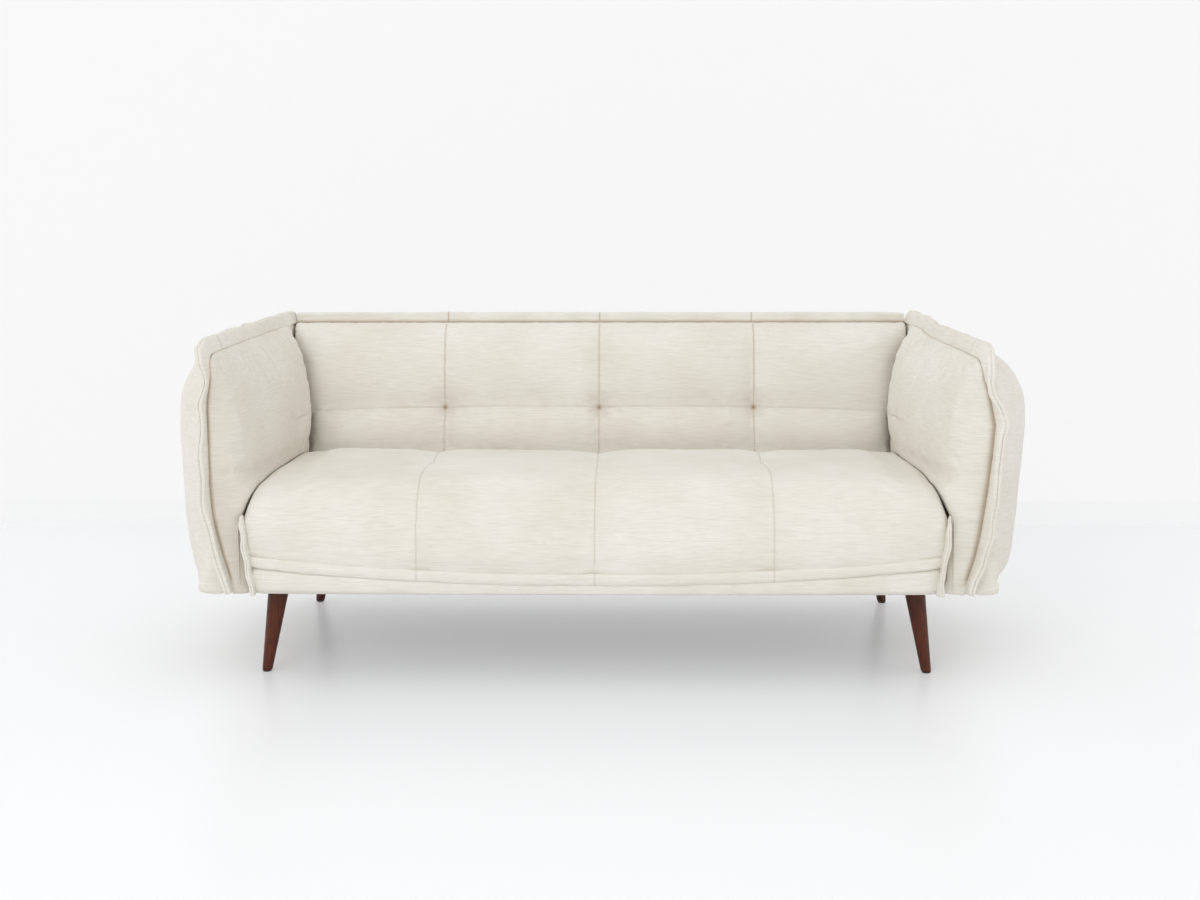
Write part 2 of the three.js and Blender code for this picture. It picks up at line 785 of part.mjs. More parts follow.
// Above the seat the inner pad grows thicker towards the back
function innerOffset(y, heightShare, inner) {
  const rise = clamp((heightShare - seatLevelShare) / (fullSwellShare - seatLevelShare), 0, 1);
  const along = clamp((y - armFront) / innerRampLength, 0, 1) ** innerRampPower;
  const swell = lerp(1, lerp(innerFrontShare, 1, along), rise);
  const front = nose(y - armFront, innerNoseLength, innerNosePower);
  const rear = nose(armRear - y, rearNoseLength, innerNosePower);
  return innerPadThickness * inner * swell * front * rear;
}

// The outer pad swells sooner behind the front at its foot than higher up
function outerOffset(y, heightShare, inner, outer) {
  const length = lerp(outerNoseLow, outerNoseLength, clamp(heightShare / outerNoseFullShare, 0, 1));
  const front = nose(y - armFront, length, outerNosePower);
  const rear = nose(armRear - y, rearNoseLength, innerNosePower);
  return outerPadThickness * outer * front * rear;
}

function armBoardOutline() {
  return [
    [armBoardFront, armUnderside],
    [armBoardRear, armUnderside],
    [armBoardRear, armBoardTop - armBoardChamfer / 2],
    [armBoardRear - armBoardChamfer / 2, armBoardTop],
    [armBoardFront + armBoardChamfer, armBoardTop],
    [armBoardFront, armBoardTop - armBoardChamfer],
  ];
}

// A point given forward of and up along the back, in Y and Z of the sofa at one recline
function backPlace(n, s, recline) {
  const lean = degToRad(backLean + recline);
  const y = hingeY + s * Math.sin(lean) - n * Math.cos(lean);
  const z = hingeZ + s * Math.cos(lean) + n * Math.sin(lean);
  return [y, z];
}

// Places across the arm pad, and up the back, at which the back's reach is taken
const sideShares = [0, 0.2, 0.4, 0.6, 0.8, 1];
const spaceShares = [0, 0.1, 0.2, 0.35, 0.5, 0.62, 0.74, 0.84, 0.9, 0.94, 0.97, 0.99, 1];

// The space that the back needs between the arms, with the back tipped forward past upright
function backSpace() {
  const innermost = Math.min(armRidgeTopX, armRidgeMiddleX) - armRidgeTaper - innerPadThickness;
  const reachAt = (s) => {
    const reaches = sideShares.map((share) => frontFaceAt(lerp(innermost, backHalfWidth, share), s));
    return Math.max(...reaches) + sweepClearance;
  };
  const front = spaceShares.map((share) => {
    const s = lerp(backBottom, backTop, share);
    return [reachAt(s), s];
  });
  const top = backTop + backFlangeHeight + sweepClearance;
  const outline = [
    ...front,
    [backRidge + backFlangeHeight, backTop + sweepClearance],
    [backRidge + backFlangeThickness + sweepClearance, top],
    [-backFace * 2, top],
    [-backFace * 2, backBottom],
  ];
  const tipped = outline.map(([n, s]) => backPlace(n, s, -overshoot));
  const reach = backWideFrom - sweepClearance;
  const besideHinge = cylinderAlongX(reach, 0, armBoardInner, hingeY, hingeZ, wideRoundSides);
  const lowPart = acrossX(tipped, 0, sideRailInner + layerGap);
  const widePart = cut(acrossX(tipped, 0, armBoardInner), besideHinge);
  return [lowPart, widePart];
}

// The space that the cushion needs beside it, and below it the space for the rails
function seatSpace() {
  const stations = seatStations().filter((x) => x > seamSpacing);
  const innermost = stations[0];
  const crownAt = (x) => seatCrown - shoulder(x) * seatShoulderDrop + seatArmClearance;
  const end = seatHalfWidth + seatArmClearance;
  const outline = [
    [innermost, 0],
    [drawnX(end, upholsteryUnderside), 0],
    [drawnX(end, upholsteryUnderside), upholsteryUnderside],
    [end, seatShoulderHeight],
    [end, crownAt(seatHalfWidth)],
    ...[...stations].reverse().map((x) => [x, crownAt(x)]),
  ];
  const ringAt = (y) => outline.map(([x, z]) => [x, y, z]);
  const cushion = loft([ringAt(armFront - overrun), ringAt(seatRear + sweepClearance)]);
  const along = [frontLiningY, armRear + overrun];
  const well = boxGeometry([0, armBoardInner], along, [0, seatWellHeight]);
  const cheekFront = sideRailRear - hingeCheekLength - hingeCheekSlope - layerGap;
  const cheekTop = hingeCheekHeight + fitGap;
  const cheek = boxGeometry([0, armBoardInner], [cheekFront, armRear + overrun], [0, cheekTop]);
  return [cushion, well, cheek];
}

function addArm(label, side) {
  const boardHoles = boltHoles(armBoltRadius + pinPlay);
  const board = acrossX(armBoardOutline(), armBoardInner, armBoardOuter, boardHoles);
  addPiece(sofa, `${label}_arm_board`, onSide(board, side), pine());

  const nearBoard = [armBoardInner - fitGap, armBoardOuter + fitGap];
  const grow = (value, middle) => value + Math.sign(value - middle) * fitGap;
  const middleY = (armBoardFront + armBoardRear) / 2;
  const middleZ = (armUnderside + armBoardTop) / 2;
  const around = armBoardOutline().map(([y, z]) => [grow(y, middleY), grow(z, middleZ)]);
  const boardSpace = acrossX(around, ...nearBoard);

  const inner = (offset) => (y, height, share) => -offset - innerOffset(y, height, share);
  const innerBody = between(armGrid(() => -fitGap / 2), armGrid(inner(fitGap / 2)));
  const innerPad = cut(innerBody, boardSpace, ...seatSpace(), ...backSpace());
  addPiece(sofa, `${label}_arm_inner_pad`, onSide(innerPad, side), linen());

  const outer = (y, height, share, outerShare) => fitGap / 2 + outerOffset(y, height, share, outerShare);
  const outerBody = between(armGrid(() => fitGap / 2), armGrid(outer));
  const outerPad = cut(outerBody, boardSpace, ...seatSpace());
  addPiece(sofa, `${label}_arm_outer_pad`, onSide(outerPad, side), linen());

  const boltProfile = [
    [0, betweenSideRails - armBoltHeadHeight],
    [armBoltHeadRadius, betweenSideRails - armBoltHeadHeight],
    [armBoltHeadRadius, betweenSideRails],
    [armBoltRadius, betweenSideRails],
    [armBoltRadius, armBoardInner + armBoltReach],
    [0, armBoardInner + armBoltReach],
  ];
  armBoltPlaces.forEach((y, i) => {
    const bolt = turnedAlongX(boltProfile, y, armBoltHeight, boltSides);
    addPiece(sofa, `${label}_arm_bolt_${i + 1}`, onSide(bolt, side), steel());
  });
}

// The ridge line of the arm, up the front, over the top and down the rear, with its outward direction
function ridgeLine() {
  const line = [];
  const add = (y, z) => line.push(new THREE.Vector2(y, z));
  const frontTop = armTopAt(armFront);
  const rearTop = armTopAt(armRear);
  const upSteps = 9;
  for (let i = 0; i < upSteps; i += 1) {
    add(armFront, lerp(armUnderside, frontTop, i / upSteps));
  }
  const cornerSteps = 9;
  const arc = (i) => armCorner * (1 - Math.cos((i / cornerSteps) * (Math.PI / 2)));
  for (let i = 0; i < cornerSteps; i += 1) add(armFront + arc(i), armTopAt(armFront + arc(i)));
  const topSteps = 14;
  for (let i = 0; i <= topSteps; i += 1) {
    const y = lerp(armFront + armCorner, armRear - armCorner, i / topSteps);
    add(y, armTopAt(y));
  }
  for (let i = cornerSteps - 1; i >= 0; i -= 1) add(armRear - arc(i), armTopAt(armRear - arc(i)));
  for (let i = 1; i <= upSteps; i += 1) {
    add(armRear, lerp(rearTop, armUnderside, i / upSteps));
  }
  return line;
}

function addArmFlange(label, side) {
  const line = ridgeLine();
  const half = armFlangeThickness / 2;
  let travelled = 0;
  const rings = line.map((point, i) => {
    const before = line[Math.max(0, i - 1)];
    const after = line[Math.min(line.length - 1, i + 1)];
    const along = after.clone().sub(before).normalize();
    const outward = new THREE.Vector2(-along.y, along.x);
    travelled += point.distanceTo(before);
    const wave = armFlangeWave * Math.sin((2 * Math.PI * travelled) / armFlangeWaveLength);
    const root = point.clone().addScaledVector(outward, fitGap);
    const tip = root.clone().addScaledVector(outward, armFlangeWidth);
    const x = ridgeX(point.x, point.y);
    const tipX = x + armFlangeLean + wave;
    return [
      [x - half, root.x, root.y],
      [x + half, root.x, root.y],
      [tipX + half, tip.x, tip.y],
      [tipX - half, tip.x, tip.y],
    ];
  });
  addPiece(sofa, `${label}_arm_flange`, onSide(loft(rings), side), linen());
}

// Back, in its own group: here -Y is forward of the hinge and +Z is up along the back
const back = new THREE.Group();
back.position.set(0, hingeY, hingeZ);
back.rotation.x = -degToRad(backLean);
sofa.add(back);

function backHalfAt(s) {
  const into = clamp((s - backWideFrom) / backWideStep, 0, 1);
  return lerp(backLowHalfWidth, backHalfWidth, into);
}

function sideRounding(x, s) {
  const toEdge = backHalfAt(s) - Math.abs(x);
  const into = Math.max(0, 1 - toEdge / backSideRound);
  return Math.sqrt(Math.max(0, 1 - into ** 2));
}

function frontFaceAt(x, s) {
  const low = s < backSeam;
  const span = low ? [backBottom + backCornerRadius, backSeam] : [backSeam, backTop];
  const rise = Math.sqrt(Math.max(0, Math.sin((Math.PI * (s - span[0])) / (span[1] - span[0]))));
  const crown = backCrown * rise * panelPuff(x);
  const seam = backSeamDepth * bump(s - backSeam, backSeamWidth);
  const channel = backChannelDepth * bump(seamDistance(x), backChannelWidth);
  const tuft = tuftDepth * bump(Math.hypot(seamDistance(x), s - backSeam), tuftRadius);
  const full = backFace + crown - Math.max(seam, channel) - tuft;
  const cornerStart = backBottom + backCornerRadius;
  const below = Math.max(0, cornerStart - s);
  const fillet = backCornerRadius - Math.sqrt(Math.max(0, backCornerRadius ** 2 - below ** 2));
  const overTop = Math.max(0, (s - (backTop - backCornerRadius * 2)) / (backCornerRadius * 2));
  const topDrop = (full - backRidge - fitGap) * (1 - Math.sqrt(Math.max(0, 1 - overTop ** backTopPower)));
  return Math.max(backRidge + fitGap, full - fillet - topDrop);
}

function frontPadPoint(x, s) {
  const edge = Math.min(backSideEdge, frontFaceAt(x, s));
  return lerp(edge, frontFaceAt(x, s), sideRounding(x, s));
}

// Rows up the back in shares of the part beside the hinges, then of the wide part above them
const frontLowShares = [0, 0.03, 0.075, 0.14, 0.28, 0.48, 0.69, 0.84, 0.925, 0.958, 0.979, 1];
const frontHighShares = [0, 0.08, 0.2, 0.36, 0.52, 0.67, 0.79, 0.88, 0.94, 0.98, 1];

function lowRow(share, bottom) {
  return lerp(bottom, backWideFrom, share);
}

function highRow(share) {
  return lerp(backWideFrom + backWideStep, backTop, share);
}

function columnShares(offsets) {
  const half = offsets.flatMap((offset) => [offset, 1 - offset]);
  const panel = [...new Set(half)].sort((a, b) => a - b);
  return [-2, -1, 0, 1].flatMap((first) => panel.map((share) => first + share)).concat(2);
}

function backColumns(s, shares) {
  const half = backHalfAt(s);
  const outerPanel = half - seamSpacing;
  return [...new Set(shares.map((share) => Math.round(share * 1000) / 1000))].map((share) => {
    const beyond = Math.max(0, Math.abs(share) - 1);
    return Math.sign(share) * (Math.min(1, Math.abs(share)) * seamSpacing + beyond * outerPanel);
  });
}

function frameSpace(s0) {
  const x = [-stileOuter - fitGap, stileOuter + fitGap];
  const depth = halfFrame + fitGap;
  return boxGeometry(x, [-depth, depth], [s0, backFrameTop + fitGap]);
}

function addBackFrontPad() {
  const shares = columnShares([0, 0.022, 0.065, 0.17, 0.34]);
  const lowRows = frontLowShares.map((share) => lowRow(share, backBottom));
  const rows = [...lowRows, ...frontHighShares.map(highRow)];
  const grid = rows.map((s) => backColumns(s, shares).map((x) => [x, -frontPadPoint(x, s), s]));
  const plane = -(backRidge + fitGap / 2);
  const body = onFlat(grid, ([x, , s]) => [x, plane, s]);
  const pad = cut(body, frameSpace(backBottom - overrun));
  addPiece(back, "back_front_pad", pad, linen());
}

// Height share, then the rear pad's depth behind the hinge as a share of its bulge
const rearLowShares = [[0, 0.3], [0.1, 0.46], [0.35, 0.7], [0.6, 0.71], [0.82, 0.8], [1, 0.9]];
const rearHighShares = [
  [0, 0.93],
  [0.25, 1],
  [0.5, 0.9],
  [0.7, 0.76],
  [0.85, 0.52],
  [0.95, 0.24],
  [1, -0.1],
];

function rearFaceAt(s, depthShare) {
  const within = s < 0 ? Math.sqrt(rearBottomRadius ** 2 - s ** 2) : rearBulge;
  const limit = s < backFace ? Math.min(within, rearFace) : rearBulge;
  return Math.min(limit, depthShare * rearBulge);
}

function addBackRearPad() {
  const shares = columnShares([0, 0.08, 0.3]);
  const bottom = -Math.sqrt(rearBottomRadius ** 2 - (halfFrame + overrun) ** 2);
  const low = rearLowShares.map(([share, depthShare]) => [lowRow(share, bottom), depthShare]);
  const high = rearHighShares.map(([share, depthShare]) => [highRow(share), depthShare]);
  const grid = [...low, ...high].map(([s, depthShare]) => {
    const full = rearFaceAt(s, depthShare);
    return backColumns(s, shares).map((x) => {
      const edge = Math.min(rearSideEdge, full);
      return [x, lerp(edge, full, sideRounding(x, s)), s];
    });
  });
  const plane = -(backRidge - fitGap / 2);
  const body = onFlat(grid, ([x, , s]) => [x, plane, s]);
  const pad = cut(body, frameSpace(bottom - overrun));
  addPiece(back, "back_rear_pad", pad, linen());
}

function addBackFlange() {
  const steps = 44;
  const half = backFlangeThickness / 2;
  const root = backTop + fitGap;
  const rings = Array.from({ length: steps + 1 }, (_, i) => {
    const x = lerp(-backHalfWidth, backHalfWidth, i / steps);
    const wave = backFlangeWave * Math.sin((2 * Math.PI * x) / backFlangeWaveLength);
    return [
      [x, -backRidge - half, root],
      [x, -backRidge + half, root],
      [x, -backRidge + half + wave, root + backFlangeHeight],
      [x, -backRidge - half + wave, root + backFlangeHeight],
    ];
  });
  addPiece(back, "back_top_flange", loft(rings), linen());
}

function addBackFrame() {
  const y = [-halfFrame, halfFrame];
  const between = stileInner - fitGap;
  const rail = (name, z) => addPiece(back, name, boxGeometry([-between, between], y, z), pine());
  rail("back_bottom_rail", [backFrameBottom, backFrameBottom + backRailHeight]);
  rail("back_top_rail", [backFrameTop - backRailHeight, backFrameTop]);
  const centreZ = [backFrameBottom + backRailHeight + fitGap, backFrameTop - backRailHeight - fitGap];
  const half = centreStileWidth / 2;
  addPiece(back, "back_centre_stile", boxGeometry([-half, half], y, centreZ), pine());
}

function addStile(label, side) {
  const stileZ = [backFrameBottom, backFrameTop];
  const stile = boxGeometry([stileInner, stileOuter], [-halfFrame, halfFrame], stileZ);
  const pocket = (radius, depth, s) =>
    cylinderAlongX(radius, stileOuter - depth - layerGap, stileOuter + overrun, 0, s, roundSides);
  const rivetPocket = pocket(rivetHeadRadius + layerGap * 2, rivetHeadHeight, 0);
  const pinPocket = pocket(pawlPinHeadRadius + layerGap, rivetHeadHeight, pawlPivotRadius);
  const boltX = [stileInner - overrun, stileOuter + overrun];
  const boltHole = cylinderAlongX(stileBoltRadius + pinPlay, ...boltX, 0, movingArmBoltAt, boltSides);
  const geometry = cut(stile, rivetPocket, pinPocket, boltHole);
  addPiece(back, `${label}_back_stile`, onSide(geometry, side), pine());

  const boltProfile = [
    [0, stileInner + overrun],
    [stileBoltRadius, stileInner + overrun],
    [stileBoltRadius, movingArmOuter + fitGap],
    [stileBoltHeadRadius, movingArmOuter + fitGap],
    [stileBoltHeadRadius, movingArmOuter + fitGap + stileBoltHeadHeight],
    [0, movingArmOuter + fitGap + stileBoltHeadHeight],
  ];
  const bolt = turnedAlongX(boltProfile, 0, movingArmBoltAt, boltSides);
  addPiece(back, `${label}_stile_bolt`, onSide(bolt, side), steel());
}

// Ratchet hinge. Polar places are given as an angle forward of the back's upward line.
function polar(radius, angle, centre = [0, 0]) {
  const turn = degToRad(angle);
  return [centre[0] - radius * Math.sin(turn), centre[1] + radius * Math.cos(turn)];
}

function turnAbout(point, centre, angle) {
  const turn = degToRad(angle);
  const [y, z] = [point[0] - centre[0], point[1] - centre[1]];
  return [
    centre[0] + y * Math.cos(turn) - z * Math.sin(turn),
    centre[1] + y * Math.sin(turn) + z * Math.cos(turn),
  ];
}

const pawlPivot = polar(pawlPivotRadius, 0);

// The fixed plate is laid out in the back's frame at rest, where its notches are easiest to place
function addFixedPlate(label, side) {
  const first = noseAngle + overshoot + noseShoulderHalfAngle * 3;
  const last = noseAngle - flatRecline - noseShoulderHalfAngle * 3;
  const rimSteps = 28;
  const rim = Array.from({ length: rimSteps + 1 }, (_, i) =>
    polar(sectorRadius, lerp(first, last, i / rimSteps)),
  );
  const footAt = (y, z) => turnAbout([y - hingeY, z - hingeZ], [0, 0], backLean);
  const foot = [
    footAt(hingeY + plateFootHalfWidth, plateFootUnderside),
    footAt(hingeY - plateFootHalfWidth, plateFootUnderside),
  ];
  const hole = circle(0, 0, rivetRadius + pinPlay, roundSides);
  const plate = acrossX([...rim, ...foot].reverse(), fixedPlateInner, fixedPlateOuter, [hole]);
  const notch = (from, to) => {
    const deep = sectorRadius - notchDepth;
    const steps = 3;
    const arc = (radius, a, b) =>
      Array.from({ length: steps + 1 }, (_, i) => polar(radius, lerp(a, b, i / steps)));
    const outer = arc(sectorRadius + overrun, to, from);
    const outline = [...arc(deep, from, to), ...outer];
    return acrossX(outline, fixedPlateInner - overrun, fixedPlateOuter + overrun);
  };
  const room = noseShoulderHalfAngle + notchClearance;
  const upright = notch(noseAngle - room, noseAngle + overshoot + room);
  const click = notch(noseAngle - clickRecline - room, noseAngle - clickRecline + room);
  const flat = notch(noseAngle - flatRecline - room, noseAngle - flatRecline + room);
  const holder = new THREE.Group();
  holder.position.copy(back.position);
  holder.rotation.copy(back.rotation);
  sofa.add(holder);
  addPiece(holder, `${label}_fixed_plate`, onSide(cut(plate, upright, click, flat), side), steel());
}

function addMovingArm(label, side) {
  const half = movingArmWidth / 2;
  const hub = cylinderAlongX(movingArmHubRadius, movingArmInner, movingArmOuter, 0, 0, wideRoundSides);
  const limb = boxGeometry([movingArmInner, movingArmOuter], [-half, half], [0, movingArmTop]);
  const holeX = [movingArmInner - overrun, movingArmOuter + overrun];
  const rivetHole = cylinderAlongX(rivetRadius + pinPlay, ...holeX, 0, 0, roundSides);
  const pinHole = cylinderAlongX(pawlPinRadius + pinPlay, ...holeX, 0, pawlPivotRadius, pinSides);
  const boltHole = cylinderAlongX(stileBoltRadius + pinPlay, ...holeX, 0, movingArmBoltAt, boltSides);
  const geometry = cut(join(hub, limb), rivetHole, pinHole, boltHole);
  addPiece(back, `${label}_moving_arm`, onSide(geometry, side), steel());
}

function addPivotRivet(label, side) {
  const profile = [
    [0, movingArmInner - fitGap - rivetHeadHeight],
    [rivetHeadRadius, movingArmInner - fitGap - rivetHeadHeight],
    [rivetHeadRadius, movingArmInner - fitGap],
    [rivetRadius, movingArmInner - fitGap],
    [rivetRadius, fixedPlateOuter + fitGap],
    [rivetHeadRadius, fixedPlateOuter + fitGap],
    [rivetHeadRadius, fixedPlateOuter + fitGap + rivetHeadHeight],
    [0, fixedPlateOuter + fitGap + rivetHeadHeight],
  ];
  const rivet = turnedAlongX(profile, hingeY, hingeZ, roundSides);
  addPiece(sofa, `${label}_pivot_rivet`, onSide(rivet, side), steel());
}

// The pawl is drawn engaged, then turned about its pin to where it is held clear of the notches
function addPawl(label, side) {
  const engagedRadius = sectorRadius - notchDepth + noseClearance;
  const tooth = [
    polar(engagedRadius, noseAngle + noseHalfAngle),
    polar(engagedRadius, noseAngle - noseHalfAngle),
    polar(engagedRadius + noseShoulderHeight, noseAngle - noseShoulderHalfAngle),
  ];
  const outsideRadius = engagedRadius + noseShoulderHeight + pawlBackWidth;
  const outside = polar(outsideRadius, noseAngle + noseShoulderHalfAngle);
  const hubSteps = 12;
  const hubArc = Array.from({ length: hubSteps + 1 }, (_, i) => {
    const turn = degToRad(lerp(...pawlHubArc, i / hubSteps));
    return [pawlPivot[0] + pawlHubRadius * Math.cos(turn), pawlPivot[1] + pawlHubRadius * Math.sin(turn)];
  });
  const engaged = [...tooth, ...hubArc, outside];
  const lifted = engaged.map((point) => turnAbout(point, pawlPivot, -pawlSwing));
  const hole = circle(...pawlPivot, pawlPinRadius + pinPlay, pinSides);
  const pawl = acrossX(lifted, fixedPlateInner, fixedPlateOuter, [hole]);
  addPiece(back, `${label}_pawl`, onSide(pawl, side), steel());

  const profile = [
    [0, movingArmInner - fitGap - rivetHeadHeight],
    [pawlPinHeadRadius, movingArmInner - fitGap - rivetHeadHeight],
    [pawlPinHeadRadius, movingArmInner - fitGap],
    [pawlPinRadius, movingArmInner - fitGap],
    [pawlPinRadius, fixedPlateOuter],
    [0, fixedPlateOuter],
  ];
  const pin = turnedAlongX(profile, ...pawlPivot, pinSides);
  addPiece(back, `${label}_pawl_pin`, onSide(pin, side), steel());
}

addRails();
addSlats();
addDustCover();
addSeat();
Object.entries(sides).forEach(([label, side]) => {
  addSideRail(label, side);
  addCornerBlocks(label, side);
  addLeg(`${label}_front`, side, -1, frontLegTopY);
  addLeg(`${label}_rear`, side, 1, rearLegTopY);
  addCornerFlange(label, side);
  addArm(label, side);
  addArmFlange(label, side);
});
addBackFrame();
addBackFrontPad();
addBackRearPad();
addBackFlange();
Object.entries(sides).forEach(([label, side]) => {
  addStile(label, side);
  addFixedPlate(label, side);
  addMovingArm(label, side);
  addPivotRivet(label, side);
  addPawl(label, side);
});

export default sofa;
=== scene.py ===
import bpy
import json
import math
import numpy as np
from mathutils import Matrix, Vector
from mathutils.bvhtree import BVHTree


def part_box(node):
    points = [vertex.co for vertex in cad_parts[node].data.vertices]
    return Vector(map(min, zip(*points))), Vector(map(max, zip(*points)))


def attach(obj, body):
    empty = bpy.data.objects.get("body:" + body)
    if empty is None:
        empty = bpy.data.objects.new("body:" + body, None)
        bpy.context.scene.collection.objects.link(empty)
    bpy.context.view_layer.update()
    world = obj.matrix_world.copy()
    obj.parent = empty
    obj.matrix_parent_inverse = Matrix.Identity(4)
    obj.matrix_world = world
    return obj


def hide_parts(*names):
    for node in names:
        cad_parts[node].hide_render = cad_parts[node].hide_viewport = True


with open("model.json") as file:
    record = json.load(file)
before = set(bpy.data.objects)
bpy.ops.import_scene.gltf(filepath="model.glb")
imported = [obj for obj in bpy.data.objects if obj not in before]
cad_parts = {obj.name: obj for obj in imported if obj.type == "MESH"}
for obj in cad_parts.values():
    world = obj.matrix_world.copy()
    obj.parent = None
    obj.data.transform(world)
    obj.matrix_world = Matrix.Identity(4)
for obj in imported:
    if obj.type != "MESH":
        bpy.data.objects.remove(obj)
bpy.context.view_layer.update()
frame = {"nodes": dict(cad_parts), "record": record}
nodes = frame["nodes"]
scene = bpy.context.scene
MM = 0.001
SIDES = {"left": -1, "right": 1}

# Sizes of the sofa that its sewn details follow, in metres. Forward and up on the back are measured from
# its hinge, along the leaning back.
SEAM_SPACING = 0.404
SEAMS = (-SEAM_SPACING, 0, SEAM_SPACING)
HINGE_Y, HINGE_Z = 0.246, 0.345
BACK_LEAN = math.radians(14)
BACK_TOP = 0.432
BACK_SEAM = 0.194
TOP_PANEL_SEAM = BACK_TOP - 0.036
BACK_RIDGE = 0.016
BACK_HALF_WIDTH = 0.807
# How far up the back it comes down on the rear rail when it lies flat, and how thick it may be there
RAIL_UP, RAIL_CLEAR = 0.087, 0.1005
SEAT_FRONT, SEAT_REAR = -0.430, 0.114
ARM_UNDERSIDE = 0.205
ARM_FRONT, ARM_REAR = -0.419, 0.372
ARM_FRONT_TOP, ARM_REAR_TOP = 0.758, 0.776
ARM_CORNER = 0.046
RIDGE_LOW, RIDGE_MIDDLE, RIDGE_TOP, RIDGE_TAPER = 0.828, 0.870, 0.882, 0.062
ARM_SEAM_HEIGHT = 0.548
ARM_HEM_WIDTH = 0.0255
BOARD_CORNER = 0.055


# Camera: solved from the four feet and the level edges in the photo
CAMERA_PLACE = (0.0705, -4.118, 1.0891)
CAMERA_TURN = {"yaw": -0.0158, "pitch": 0.1487, "roll": -0.0017}
CAMERA_LENS, SENSOR_WIDTH = 50, 36


def aim_camera():
    yaw, pitch, roll = CAMERA_TURN.values()
    forward = Vector((
        math.sin(yaw) * math.cos(pitch), math.cos(yaw) * math.cos(pitch), -math.sin(pitch),
    ))
    level = Vector((math.cos(yaw), -math.sin(yaw), 0))
    upward = level.cross(forward)
    right = level * math.cos(roll) + upward * math.sin(roll)
    up = upward * math.cos(roll) - level * math.sin(roll)
    camera = bpy.data.cameras.new("camera")
    camera.lens = CAMERA_LENS
    camera.sensor_width = SENSOR_WIDTH
    holder = bpy.data.objects.new("camera", camera)
    turn = Matrix((right, up, -forward)).transposed().to_4x4()
    holder.matrix_world = Matrix.Translation(CAMERA_PLACE) @ turn
    scene.collection.objects.link(holder)
    scene.camera = holder


aim_camera()


# Materials
def linear(hex_colour):
    """An sRGB hex colour as the linear colour that a shader takes."""
    channels = [int(hex_colour[i:i + 2], 16) / 255 for i in (1, 3, 5)]
    bent = [c / 12.92 if c <= 0.04045 else ((c + 0.055) / 1.055) ** 2.4 for c in channels]
    return (*bent, 1)


def feed(tree, node, **inputs):
    """Sets a node's inputs, each to a value or to another node's output. _0 is the first input."""
    for name, value in inputs.items():
        key = int(name[1:]) if name[1:].isdigit() else name.replace("_", " ")
        socket = node.inputs[key]
        if isinstance(value, bpy.types.NodeSocket):
            tree.links.new(value, socket)
        else:
            socket.default_value = value


def add(tree, kind, settings=(), **inputs):
    """Adds a node. settings are its own properties."""
    made = tree.nodes.new(kind)
    for name, value in dict(settings).items():
        setattr(made, name, value)
    feed(tree, made, **inputs)
    return made


def bump(tree, height, strength, distance):
    made = add(tree, "ShaderNodeBump", Strength=strength, Distance=distance, Height=height)
    return made.outputs[0]


def multiply(tree, share, lower, upper):
    """One colour darkened by another."""
    settings = {"data_type": "RGBA", "blend_type": "MULTIPLY"}
    return add(tree, "ShaderNodeMix", settings, _0=share, _6=lower, _7=upper).outputs[2]


def start_material(name):
    material = bpy.data.materials.new(name)
    material.use_nodes = True
    tree = material.node_tree
    shader = tree.nodes["Principled BSDF"]
    where = add(tree, "ShaderNodeTexCoord")
    return material, tree, shader, where


def ramp(tree, factor, stops):
    made = add(tree, "ShaderNodeValToRGB", Fac=factor)
    points = made.color_ramp.elements
    while len(points) < len(stops):
        points.new(0.5)
    for point, (place, colour) in zip(points, stops):
        point.position = place
        point.color = colour
    return made.outputs["Color"]


